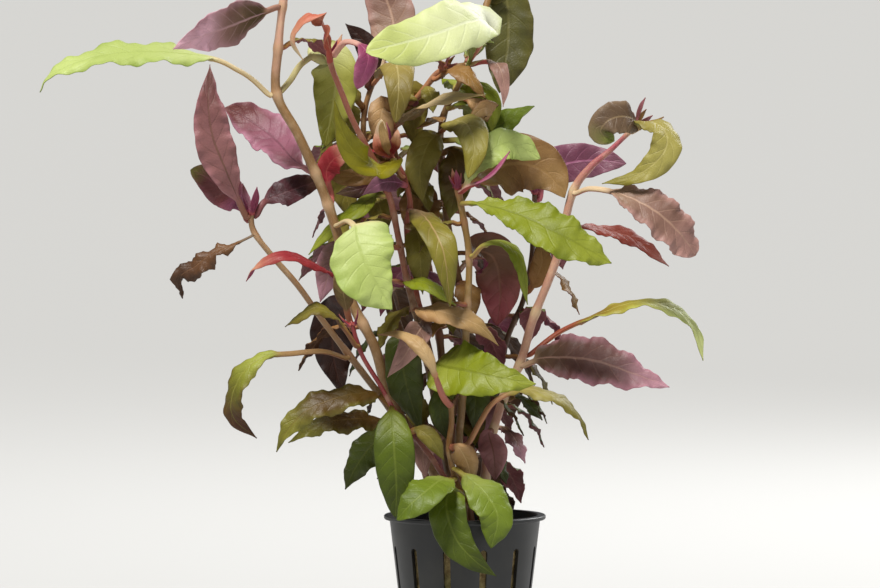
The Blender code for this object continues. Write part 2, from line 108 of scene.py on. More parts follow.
def opened(point):
    """A written point as it stands in the opened bunch."""
    x, y, z = point
    return Vector((x, y * (1 + OPENING * max(0.0, z - POT_HEIGHT)), z))


def smooth_route(points, count):
    """Evenly spaced points on a smooth curve through the given points."""
    ends = [2 * points[0] - points[1]] + list(points) + [2 * points[-1] - points[-2]]
    fine = []
    per_span = max(LEAST_SAMPLES, CURVE_SAMPLES // (len(points) - 1))
    for index in range(len(points) - 1):
        before, start, end, after = ends[index:index + 4]
        for step in range(per_span):
            t = step / per_span
            fine.append(0.5 * (2 * start + (end - before) * t
                               + (2 * before - 5 * start + 4 * end - after) * t * t
                               + (3 * start - before - 3 * end + after) * t ** 3))
    fine.append(points[-1])
    run = [0.0]
    for first, second in zip(fine, fine[1:]):
        run.append(run[-1] + (second - first).length)
    even = []
    index = 0
    for step in range(count):
        wanted = run[-1] * step / (count - 1)
        while index < len(run) - 2 and run[index + 1] < wanted:
            index += 1
        share = (wanted - run[index]) / max(TINY, run[index + 1] - run[index])
        even.append(fine[index].lerp(fine[index + 1], min(1.0, share)))
    return even


def length_of(line):
    return sum((second - first).length for first, second in zip(line, line[1:]))


print(f"the bunch is {1 + OPENING * (STEMS[1].route[-1][2] - POT_HEIGHT):.1f} times as deep at its top")

# %% [markdown]
# ## Where the stems stand
#
# In a real pot the feet are pressed together in a core of wool. A physics run could bundle them like
# that, but it would leave them touching, and two solids may not share a place. So they stand upright on
# two rings with room between them. The order on each ring follows the way the stems lean, so that none
# has to cross another below the rim.

# %% Stems in the pot
STEM_FOOT = 6.0
STEM_NECK = 44.0
RINGS = (
    # Stem numbers in order round the ring, its radius, and its first stem's angle in degrees.
    ((10, 11, 9, 7, 5, 2, 1, 3, 12), 8.9, 0),
    ((6, 4, 8), 3.0, 30),
)


def stem_places():
    """The X and Y of each stem in the pot."""
    places = {}
    for order, radius, first in RINGS:
        for index, number in enumerate(order):
            angle = 2 * math.pi * index / len(order) + math.radians(first)
            places[number] = (radius * math.cos(angle), radius * math.sin(angle))
    return places


def stem_route(number):
    x, y = stem_places()[number]
    foot = [Vector((x, y, STEM_FOOT)), Vector((x, y, STEM_NECK))]
    return foot + [opened(point) for point in STEMS[number].route]


STEM_LINES = {number: smooth_route(stem_route(number), CURVE_SAMPLES) for number in STEMS}


def stem_node(number, height):
    """A stem's centre at the given height, and the way it runs there."""
    line = STEM_LINES[number]
    index = min(range(1, len(line)), key=lambda i: abs(line[i].z - height))
    return line[index], (line[index] - line[index - 1]).normalized()


for number, line in STEM_LINES.items():
    print(f"stem {number}: {length_of(line):.0f} mm long, tip at height {line[-1].z:.0f} mm")

# %% [markdown]
# ## Colours
#
# In air this species grows green on the upper side where it gets light, bronze and mauve where it colours
# up, and pink to purple underneath. A painted picture could give each leaf its own colours, but it would
# blur close up. So a look is a few colours that the leaf's material blends by itself, at any distance.
# It gives the colour at the blade's foot, middle and tip, then its edge, its veins and its stalk, the
# share of light that passes through, and where the tip's colour sets in.

# %% Green and olive looks of the upper sides
Look = namedtuple("Look", "foot middle tip edge vein stalk glow turn", defaults=(0.5,))
UPPER = {
    "lime": Look((206, 218, 146), (188, 204, 116), (204, 220, 132), (158, 180, 78), (176, 192, 104),
                 (226, 206, 160), 0.25),
    "cream_lime": Look((248, 250, 226), (232, 238, 182), (208, 218, 130), (214, 224, 144),
                       (242, 246, 214), (214, 146, 130), 0.25),
    # lime_to_olive is painted lighter than the leaf, most of all at its foot: painted light that makes up
    # for the shade of the pale top leaf above it.
    "lime_to_olive": Look((238, 242, 176), (184, 184, 86), (122, 120, 34), (146, 144, 52),
                          (200, 198, 120), (220, 210, 150), 0.22),
    "yellow_green": Look((164, 170, 70), (136, 146, 24), (152, 160, 54), (124, 136, 22), (114, 122, 20),
                         (186, 170, 90), 0.25),
    "bright_yellow": Look((160, 150, 40), (152, 142, 8), (146, 140, 30), (120, 110, 8), (176, 168, 44),
                          (190, 170, 80), 0.3),
    "green": Look((150, 160, 76), (114, 132, 36), (98, 116, 26), (98, 114, 24), (138, 152, 66),
                  (176, 160, 76), 0.2),
    # deep_green's dark green is the leaf's own; its lighter foot is partly a painted highlight, where a
    # hanging leaf's upper part catches the light from above.
    "deep_green": Look((132, 142, 48), (84, 100, 10), (64, 76, 6), (74, 88, 10), (116, 128, 44),
                       (150, 130, 56), 0.18),
    # olive is painted lighter than its leaves are: painted light, so that leaves inside the bunch, where
    # outer leaves shade them, look lit from above.
    "olive": Look((152, 138, 62), (136, 126, 48), (124, 114, 42), (110, 90, 36), (160, 148, 74),
                  (176, 128, 72), 0.18),
    "green_olive": Look((108, 104, 50), (88, 86, 34), (76, 72, 26), (100, 92, 36), (120, 114, 62),
                        (150, 112, 64), 0.15),
    "olive_lilac": Look((92, 84, 44), (136, 104, 90), (190, 146, 156), (176, 120, 134), (184, 144, 140),
                        (160, 120, 90), 0.2),
    "dark_olive": Look((92, 100, 24), (70, 82, 10), (60, 68, 10), (62, 60, 14), (96, 102, 36),
                       (120, 90, 46), 0.1),
    "brown_olive": Look((106, 76, 28), (84, 60, 18), (122, 118, 40), (124, 120, 42), (112, 88, 38),
                        (150, 106, 50), 0.15),
    "pink_foot_green": Look((206, 172, 132), (140, 130, 46), (126, 118, 34), (110, 102, 30),
                            (196, 160, 118), (216, 166, 144), 0.2),
    "cream_olive": Look((160, 144, 70), (172, 162, 86), (146, 136, 50), (130, 118, 40), (194, 182, 116),
                        (196, 146, 104), 0.25),
    "bronze_mauve": Look((120, 88, 72), (102, 80, 60), (130, 150, 50), (150, 124, 96), (160, 136, 100),
                         (180, 96, 100), 0.2, 0.72),
    "rose_brown": Look((164, 92, 124), (118, 66, 66), (146, 156, 64), (160, 96, 110), (160, 94, 100),
                       (160, 90, 86), 0.2, 0.76),
    # red_brown's orange red is the leaf's own; it is also painted brighter than the leaf, as painted light
    # for a leaf whose face is turned from the light.
    "red_brown": Look((170, 68, 50), (150, 68, 52), (196, 158, 148), (136, 58, 44), (170, 90, 72),
                      (150, 74, 58), 0.25, 0.75),
    "brown_rose": Look((104, 76, 46), (112, 76, 52), (176, 92, 98), (140, 82, 72), (142, 102, 78),
                       (146, 88, 68), 0.2, 0.42),
}
print(len(UPPER), "upper looks so far")

# %% Tan and bronze looks
UPPER.update({
    # tan is painted paler than the leaf: painted light that makes up for the shade of the pale top leaf
    # above it.
    "tan": Look((240, 218, 176), (232, 208, 164), (204, 180, 120), (188, 158, 104), (240, 220, 180),
                (216, 156, 120), 0.3),
    "light_tan": Look((206, 176, 128), (194, 160, 110), (176, 144, 90), (140, 104, 62), (212, 182, 134),
                      (200, 140, 104), 0.25),
    "tan_brown": Look((172, 140, 82), (144, 106, 60), (158, 124, 76), (126, 88, 46), (168, 132, 80),
                      (190, 128, 88), 0.22),
    # tan_to_olive is painted lighter than the leaf: painted light for a leaf that hangs inside the bunch,
    # where outer leaves shade it.
    "tan_to_olive": Look((224, 208, 146), (164, 146, 76), (122, 108, 42), (136, 118, 54), (208, 192, 132),
                         (204, 146, 106), 0.22),
    # bronze is painted lighter than its leaves are: painted light, so that leaves inside the bunch, where
    # outer leaves shade them, look lit from above.
    "bronze": Look((176, 128, 76), (152, 114, 60), (138, 106, 52), (126, 84, 46), (170, 128, 76),
                   (190, 128, 88), 0.2),
    # bronze_to_lime's tip is lime on the leaf itself and is painted paler still: painted light that makes up
    # for the shade where the tip droops.
    "bronze_to_lime": Look((140, 104, 32), (180, 170, 64), (242, 252, 170), (206, 220, 110),
                           (206, 204, 110), (160, 80, 54), 0.3, 0.36),
})
print(len(UPPER), "upper looks so far")

# %% Mauve, purple, red and dry looks
UPPER.update({
    "mauve": Look((112, 88, 66), (124, 88, 82), (200, 150, 164), (204, 144, 160), (190, 150, 134),
                  (216, 182, 150), 0.2),
    "dusty_mauve": Look((164, 134, 108), (140, 106, 92), (176, 134, 124), (204, 158, 150),
                        (200, 164, 140), (230, 204, 166), 0.2),
    "dark_rib_mauve": Look((164, 112, 112), (146, 98, 96), (124, 80, 74), (180, 122, 130), (104, 74, 50),
                           (150, 102, 82), 0.2),
    "pink_mauve": Look((146, 92, 100), (150, 92, 110), (112, 62, 58), (212, 152, 176), (104, 56, 68),
                       (184, 126, 126), 0.2),
    "purple": Look((142, 78, 104), (122, 70, 92), (136, 92, 108), (166, 116, 136), (200, 124, 164),
                   (204, 114, 126), 0.2),
    "dark_mauve": Look((92, 54, 58), (84, 46, 52), (76, 56, 30), (112, 66, 76), (118, 74, 78),
                       (130, 76, 76), 0.15),
    "magenta": Look((152, 62, 98), (158, 72, 112), (178, 92, 128), (208, 142, 162), (200, 112, 146),
                    (226, 178, 162), 0.25),
    "crimson": Look((156, 40, 52), (160, 46, 54), (236, 184, 146), (172, 66, 64), (186, 84, 80),
                    (190, 104, 94), 0.2, 0.5),
    "coral": Look((204, 88, 70), (212, 118, 92), (226, 208, 170), (220, 150, 120), (222, 162, 132),
                  (204, 104, 88), 0.25),
    "peach": Look((206, 164, 114), (192, 154, 104), (164, 136, 84), (144, 104, 64), (214, 180, 132),
                  (196, 124, 94), 0.25),
    "dry": Look((128, 88, 48), (98, 64, 36), (72, 46, 28), (72, 46, 26), (124, 88, 58), (128, 108, 88),
                0.1),
    "maroon": Look((64, 30, 18), (46, 20, 10), (44, 20, 10), (40, 16, 12), (76, 40, 28), (100, 56, 42),
                   0.08),
    "lime_to_dry": Look((172, 180, 76), (130, 132, 44), (84, 48, 26), (104, 76, 30), (156, 154, 70),
                        (190, 150, 100), 0.2, 0.36),
})
print(len(UPPER), "upper looks in all")

# %% Looks of the under sides
LOWER = {
    "pale_green": Look((160, 164, 96), (130, 138, 66), (126, 134, 60), (120, 120, 60), (166, 168, 104),
                       (200, 164, 112), 0.25),
    "pink_green": Look((150, 128, 84), (128, 108, 62), (126, 100, 70), (130, 88, 68), (170, 144, 104),
                       (190, 128, 98), 0.25),
    "rose": Look((150, 96, 92), (144, 86, 92), (160, 100, 108), (176, 112, 120), (186, 126, 124),
                 (190, 120, 106), 0.25),
    "magenta": Look((136, 54, 84), (142, 58, 90), (156, 76, 104), (170, 94, 118), (186, 106, 128),
                    (184, 90, 94), 0.25),
    "brown": Look((108, 74, 46), (90, 60, 36), (84, 54, 32), (80, 46, 32), (126, 90, 60), (136, 90, 58),
                  0.15),
    "lilac": Look((96, 80, 48), (160, 120, 112), (240, 190, 208), (222, 170, 186), (222, 178, 184),
                  (186, 140, 120), 0.25, 0.3),
    "pale_coral": Look((176, 80, 66), (200, 128, 102), (214, 200, 164), (206, 148, 120), (216, 170, 140),
                       (186, 92, 80), 0.25),
}


def paint(red, green, blue):
    """A colour from screen values, as the linear value that a shader takes."""
    linear = []
    for value in (red, green, blue):
        share = value / 255
        linear.append(share / 12.92 if share <= 0.04045 else ((share + 0.055) / 1.055) ** 2.4)
    return (*linear, 1.0)


print(len(LOWER), "under looks")

# %% [markdown]
# ## The leaves that the solid model holds
#
# Each large leaf is written as the stem and height that it grows from, its greatest width, the share of
# its length that is stalk, and the points that its midrib passes from just off the stem to the tip. Where
# its upper side doesn't look to the front, an arrow says where it looks, or one arrow for its foot and
# one for its tip.
# Its style gives the upper and under looks, how far the edge waves in millimetres, how many waves run
# along it, how ragged it is, how far its two halves curl down from the midrib, where it is widest, how
# sharp its tip is, how thick its stalk is, and how much nearer the tip one half is widest.
# Copies of one leaf turned about would be less work, but on this plant no two leaves bend alike, and the
# photograph shows how each one lies.

# %% Large leaves at the left
UP_FRONT = (0, -0.5, 0.85)
FRONT = (0, -1, 0.15)
FLAT = (0, -0.3, 0.95)
AWAY = (-0.1, 0.9, 0.4)
Leaf = namedtuple("Leaf", "name stem node_z width petiole route face tip_face", defaults=(FRONT, None))
Style = namedtuple("Style", "upper lower wave waves ragged curl widest tip stalk skew",
                   defaults=(2.5, 0.03, 0.1, 0.42, 1.1, 1, 0))
LARGE_LEAVES = [
    (Leaf("leaf_long_left", 1, 190.7, 14, 0.28, [(-70, -9, 195.4), (-75, -10, 198.7), (-84, -12, 202.7),
          (-104, -15, 204.7), (-122, -17, 203), (-136, -17, 197), (-139.7, -16, 191.7)], UP_FRONT),
     Style("lime", "pale_green", 1.1, 3.5)),
    (Leaf("leaf_top_left", 1, 219.5, 15, 0.12, [(-66, -10, 218), (-77, -14, 213.5), (-87, -17, 210),
          (-95.7, -18, 206)], AWAY),
     Style("olive_lilac", "lilac", 0.8, 3.0, curl=0.05)),
    (Leaf("leaf_left_upright", 2, 151, 13, 0.12, [(-75.7, -15, 158.4), (-79, -17, 166.7), (-83, -17, 177),
          (-84.5, -16, 188), (-84, -13, 200.7)], (0.2, -1, 0.1)),
     Style("dark_rib_mauve", "magenta", 0.9, 4.0, 0.05, 0.05, 0.45, 1.3)),
    (Leaf("leaf_left_mauve", 1, 164.5, 15.5, 0.1, [(-57, -2, 168.5), (-64, 4, 175.5), (-72, 7, 181),
          (-80.3, 8, 185.4)], (0.2, -0.9, 0.4)),
     Style("pink_mauve", "magenta", 1.1, 3.0, 0.05, 0.05, 0.55, 0.75)),
    (Leaf("leaf_dark_mauve", 2, 151, 9.5, 0.15, [(-66, -11, 155.4), (-59, -3, 158), (-51, 2, 160.5),
          (-43.3, 4, 162.4)], (0.1, -0.95, 0.3)),
     Style("dark_mauve", "magenta", 0.8, curl=0.05)),
    (Leaf("leaf_withered", 2, 144.5, 7, 0.15, [(-76.3, -17, 141.4), (-83.3, -18, 138.5), (-89, -18, 134),
          (-94, -17, 130.5), (-93.3, -15, 123.4)], FLAT, (0.6, -0.7, 0.3)),
     Style("dry", "brown", 1.6, 4.5, 0.14, 0.3, 0.5, 1.0, 0.45)),
    (Leaf("leaf_crimson_arch", 1, 129, 9, 0.12, [(-46, -15, 132.5), (-53.3, -21, 137), (-61, -24, 138.7),
          (-68.3, -24, 135), (-72, -22, 129.7)], (0, -0.6, 0.8), FLAT),
     Style("crimson", "magenta", 0.5, 3.0, 0.02, 0.25)),
    (Leaf("leaf_low_left", 2, 104.4, 9, 0.4, [(-47, -12, 105.5), (-57, -14, 105), (-66, -16, 104),
          (-73, -17, 99), (-77, -17, 90), (-76, -16, 83), (-69, -14, 76.7)], UP_FRONT, (-0.6, -0.7, 0.4)),
     Style("lime_to_dry", "brown", 0.9, 3.0, 0.05, 0.15)),
    (Leaf("leaf_olive_arch", 3, 108, 8, 0.3, [(-39.7, -19, 113.5), (-44, -21, 118.6), (-49, -22, 120.6),
          (-55, -22, 117.7), (-59.3, -20, 114.4)], FLAT, UP_FRONT),
     Style("olive", "brown", 0.6, curl=0.15)),
    (Leaf("leaf_brown_low", 1, 88.4, 11, 0.15, [(-30, -14, 91.5), (-40, -18, 91), (-52, -21, 86.5),
          (-59.7, -22, 78.4), (-62.3, -21, 72.7)], (0, -0.75, 0.65)),
     Style("brown_olive", "brown", 1.2, 3.5, 0.06, 0.15)),
    (Leaf("leaf_brown_under", 2, 80, 9.5, 0.15, [(-29, -4, 82), (-41.7, -8, 82), (-50, -9, 80),
          (-58.7, -8, 74.7)], (0, -0.75, 0.65)),
     Style("brown_olive", "brown", 1.2, 3.5, 0.06, 0.15)),
    (Leaf("leaf_front_hanging", 3, 87, 13.5, 0.06, [(-24, -21, 84), (-23.5, -26, 75), (-22.7, -28, 62),
          (-23, -29, 51.4)]),
     Style("deep_green", "pink_green", 0.4, 2.0, 0.02, 0.1, 0.45, 0.75)),
    (Leaf("leaf_low_red_brown", 2, 76, 11.5, 0.15, [(-24, -1, 77), (-30, 1, 74), (-36, 3, 66),
          (-40, 4, 58)], (-0.3, -0.9, 0.2)),
     Style("dark_olive", "brown", 0.9, 3.0, 0.06)),
]
print(len(LARGE_LEAVES), "large leaves so far")

# %% Large leaves in the middle
LARGE_LEAVES += [
    (Leaf("leaf_lime_broad", 1, 147, 24, 0.38, [(-39, -14, 149), (-36.5, -19, 147.5), (-35, -22.5, 142),
          (-31, -26, 132.5), (-24, -27, 120.7)], (0.1, -0.85, 0.5)),
     Style("lime", "pale_green", 1.0, 2.5, 0.05, 0.08, 0.34, 0.95, 1, 0.12)),
    (Leaf("leaf_purple_hanging", 4, 204, 7.5, 0.48, [(-39.5, -12, 208), (-34.5, -15, 207),
          (-32, -17, 202.5), (-35.5, -17, 192.8)], (0.4, -0.8, 0.4), (0.4, -0.9, 0.1)),
     Style("magenta", "magenta", 0.4, 2.5, 0.03, 0.15, 0.5, 0.7)),
    (Leaf("leaf_coral_curl", 4, 202, 6, 0.15, [(-45.5, -14, 209), (-47, -15, 215), (-51, -16, 217),
          (-55.5, -16, 213), (-57, -16, 208), (-53, -16, 202)], (-0.3, -0.3, 0.9), (-0.9, -0.3, 0.1)),
     Style("coral", "pale_coral", 0.4, curl=0.25)),
    (Leaf("leaf_grey_mauve_top", 5, 195.5, 16, 0.15, [(-26, 13, 205), (-24, 15, 213), (-27, 16, 223),
          (-31, 15, 232), (-36, 13, 240)], (-0.1, -0.9, 0.2)),
     Style("dusty_mauve", "rose", 0.9)),
    (Leaf("leaf_hanging_green", 1, 190.7, 15.5, 0.36, [(-58, -4, 195), (-54, -1, 200.7), (-47, 1, 203.9),
          (-43.3, 1, 198), (-43.7, 1, 188), (-46.7, 0, 172.7)], (0, -0.5, 0.9), FRONT),
     Style("lime_to_olive", "pink_green", 0.8, widest=0.35, tip=0.8)),
    (Leaf("leaf_glowing", 6, 168, 11, 0.1, [(-25.5, -11, 167), (-31, -15, 167.5), (-37, -18, 173),
          (-41, -19, 181), (-43, -19, 190)], (-0.2, -0.6, 0.8), (-0.5, -0.8, 0.3)),
     Style("bright_yellow", "pale_green", 0.6)),
    (Leaf("leaf_pink_midrib", 6, 152, 11, 0.12, [(-15, -5, 151), (-11, -15, 147), (-7, -20, 138),
          (-5, -21, 121)], (0.2, -0.9, 0.3)),
     Style("pink_foot_green", "pink_green", 0.6, widest=0.45, tip=1.0)),
    (Leaf("leaf_cream_hanging", 5, 194, 11.5, 0.12, [(-26, 4, 199), (-23, -2, 200.5), (-22, -7, 193),
          (-23, -8, 181)], UP_FRONT, FRONT),
     Style("tan_to_olive", "pink_green", 0.5, 2.0, 0.02, 0.12, tip=0.7)),
    (Leaf("leaf_pale_top", 9, 202, 19, 0.25, [(6.3, 2, 209), (6.6, -4, 214.5), (1, -9, 214.5),
          (-9, -13, 211), (-20, -16, 208), (-32.5, -19, 205)], (0, -0.95, 0.35)),
     Style("cream_lime", "pale_green", 1.2, 2.5, 0.04, 0.12, 0.48, 0.6)),
    (Leaf("leaf_dark_olive_top", 9, 199, 18, 0.4, [(5, 13, 209), (7.5, 15, 220), (11, 17, 226),
          (14.3, 18, 221), (14.5, 17, 206), (11.7, 15, 190)], (0.1, -0.95, 0.2)),
     Style("green_olive", "brown", 1.0, 3.5, 0.07, 0.1, 0.5, 0.8)),
]
print(len(LARGE_LEAVES), "large leaves so far")

# %% Large leaves at the right
LARGE_LEAVES += [
    (Leaf("leaf_green_right", 9, 174, 12, 0.12, [(0, 9, 175), (9, 9, 178), (16, 8, 182), (23.3, 7, 186)],
          (-0.3, -0.7, 0.6)),
     Style("green", "pale_green", 0.6)),
    (Leaf("leaf_cream_tan", 7, 180, 10.5, 0.15, [(-17, 1, 184), (-11.7, -5, 187.4), (-2, -8, 190),
          (6.7, -9, 190.4)], UP_FRONT),
     Style("tan", "pink_green", 0.6, curl=0.12)),
    (Leaf("leaf_cream_olive", 9, 178, 11.5, 0.15, [(-4, 2, 181), (1, -5, 180), (3, -10, 173),
          (1, -12, 163)], UP_FRONT, FRONT),
     Style("cream_olive", "pink_green", 0.5, 2.0, 0.03, 0.12, 0.45, 0.75)),
    (Leaf("leaf_tan_broad", 8, 159.5, 21, 0.12, [(3, -5, 162), (8.3, -1, 164.8), (18.5, 2, 167),
          (27.7, 2, 163.5), (33.3, 1, 155.7)], (-0.1, -0.95, 0.3)),
     Style("tan_brown", "pink_green", 1.0, 2.5, 0.05, 0.06, 0.42, 0.9)),
    (Leaf("leaf_yellow_green_right", 8, 154, 17, 0.1, [(5, -13, 154.5), (18.3, -19, 151),
          (31.7, -23, 144.7), (48, -23, 135.7)], (0.1, -0.8, 0.55)),
     Style("yellow_green", "pale_green", 1.1, 5.5, 0.05, 0.06, 0.6, 1.0)),
    (Leaf("leaf_purple_right", 11, 155, 13, 0.12, [(27, 13, 163), (35, 14, 166.5), (45, 14, 167.5),
          (54.3, 13, 166.4)]),
     Style("purple", "magenta", 0.8, 3.5, curl=0.06, tip=0.8)),
    (Leaf("leaf_brown_curl", 10, 180, 11.5, 0.08, [(55, -3, 182.5), (51, -5, 183), (47, -6, 181.5),
          (45, -6, 178), (49.5, -5, 175)], (0, -0.9, 0.3)),
     Style("bronze_mauve", "pale_green", 0.6, 3.5, 0.04, 0.12, tip=0.6)),
    (Leaf("leaf_yellow_curl", 10, 178, 11, 0.12, [(62, -4, 181), (66.5, -7, 177), (65, -9, 170.5),
          (57, -9, 164), (45.3, -8, 161)], (0.5, -0.6, 0.6), (0.3, -0.8, 0.5)),
     Style("cream_olive", "pale_green", 0.8, 3.5, 0.05, 0.12, 0.3)),
    (Leaf("leaf_dusty_mauve_right", 10, 158, 16, 0.3, [(42, -3, 159), (51, -8, 157.6), (62, -11, 152.4),
          (70, -11, 145.5), (76.3, -9, 137.2)], (0.1, -0.8, 0.6)),
     Style("dusty_mauve", "rose", 1.1, 5.0, 0.08, 0.06, 0.6, 0.65)),
    (Leaf("leaf_long_right_arch", 10, 104, 9, 0.28, [(31.7, 4, 110.7), (45, 2, 116.7), (57.7, 0, 120.7),
          (70, -2, 118.5), (76.7, -3, 111.7), (79.3, -3, 101.7)], FLAT),
     Style("bronze_to_lime", "pink_green", 0.8, 3.0, curl=0.12)),
    (Leaf("leaf_big_mauve_right", 10, 100, 17.5, 0.12, [(27, -4, 102.5), (41.7, -10, 102.4),
          (56, -13, 98), (67.7, -13, 93.7)], (0, -0.85, 0.5)),
     Style("mauve", "magenta", 1.3, 4.5, 0.04, 0.05, 0.38, 1.05)),
]
print(len(LARGE_LEAVES), "large leaves so far")

# %% Large leaves inside, at the foot and behind
LARGE_LEAVES += [
    (Leaf("leaf_bright_middle", 4, 101, 20, 0.24, [(-8.5, -11, 100.5), (0.5, -18.5, 99.5),
          (11, -23, 97.6), (23.3, -24, 95.7)], (0, -0.9, 0.4)),
     Style("yellow_green", "pale_green", 1.2, 3.5, 0.05, 0.06, 0.24, 0.95)),
    (Leaf("leaf_tan_strip", 12, 88.5, 5.5, 0.45, [(-7.5, -25, 92), (-10.5, -30, 100.5),
          (-14.5, -29, 108.5), (-21, -24, 112.5), (-28.7, -22, 112)], (-0.5, -0.6, 0.6), UP_FRONT),
     Style("light_tan", "rose", 0.5, curl=0.25)),
    (Leaf("leaf_peach", 4, 119, 10, 0.12, [(-12, -11, 119.5), (-4, -16, 117.7), (4.5, -17, 114.3),
          (11, -16, 107.7)], (0, -0.7, 0.7)),
     Style("peach", "brown", 0.7, 2.5, 0.04, 0.15)),
    (Leaf("leaf_rose_hanging", 8, 136, 16, 0.12, [(5, 3, 137.5), (10, 7, 134.5), (12, 8, 124),
          (10.7, 7, 112.7)]),
     Style("brown_rose", "magenta", 0.9, 3.0, 0.04, 0.08, 0.5, 0.8)),
    (Leaf("leaf_dark_inner", 4, 110, 13, 0.12, [(-19, -8, 110), (-20.8, -11, 105), (-19.7, -12, 96),
          (-17.5, -12.5, 88), (-14.5, -12, 79)], (-0.2, -1, 0.15)),
     Style("dark_olive", "brown", 0.9, 2.5, 0.04)),
    (Leaf("leaf_foot_light_green", 12, 63.5, 14.5, 0.2, [(-8, -26, 63.5), (-12.5, -36, 61),
          (-17.5, -40, 57), (-22.5, -40, 51.5)], (-0.2, -0.8, 0.6)),
     Style("green", "pale_green", 0.7, widest=0.45, tip=0.8)),
    (Leaf("leaf_foot_long_green", 12, 59, 12.7, 0.12, [(-5, -25, 60), (-6, -32, 54), (-3, -35, 45),
          (3, -36, 38), (10.3, -35, 32.5)], (-0.2, -0.95, 0.2)),
     Style("deep_green", "pale_green", 0.7)),
    (Leaf("leaf_foot_right", 12, 66.5, 14.5, 0.15, [(0.5, -20, 64), (6.5, -26, 59), (10.5, -30.5, 51.5),
          (8.5, -32, 41.5)], (0.3, -0.6, 0.7), (0.4, -0.9, 0.2)),
     Style("green", "pale_green", 0.7, 2.5, 0.03, 0.12, 0.45, 0.8)),
    (Leaf("leaf_low_right_arch", 12, 73, 10, 0.42, [(1, -14, 75), (5, -13, 82), (9.5, -12, 88.5),
          (18, -11, 92.5), (26, -11, 91.5), (33, -11, 88.5), (38, -10, 83), (41, -9, 75.7)], FLAT),
     Style("cream_olive", "pink_green", 0.7, 3.0, curl=0.18)),
    (Leaf("leaf_back_left", 7, 150, 14, 0.15, [(-19, 19, 153), (-25, 27, 154), (-31, 34, 148),
          (-34, 39, 139)], (0.1, 0.6, 0.8), (0.1, 0.8, 0.5)),
     Style("green", "rose", 0.9, 3.0)),
    (Leaf("leaf_back_right", 9, 130, 14, 0.15, [(1, 18, 133), (7, 26, 134), (12, 34, 128), (14, 40, 119)],
          (0, 0.6, 0.8), (0, 0.8, 0.5)),
     Style("olive", "rose", 0.9, 3.0)),
]
print(len(LARGE_LEAVES), "leaves with a solid of their own in all")

# %% [markdown]
# ## The smaller leaves
#
# A stem of this plant carries many smaller leaves between the large ones. They could be solids too, but
# they are past the number that the model holds. So they are made here only, within the reach of the
# large leaves, and are written in the same way.

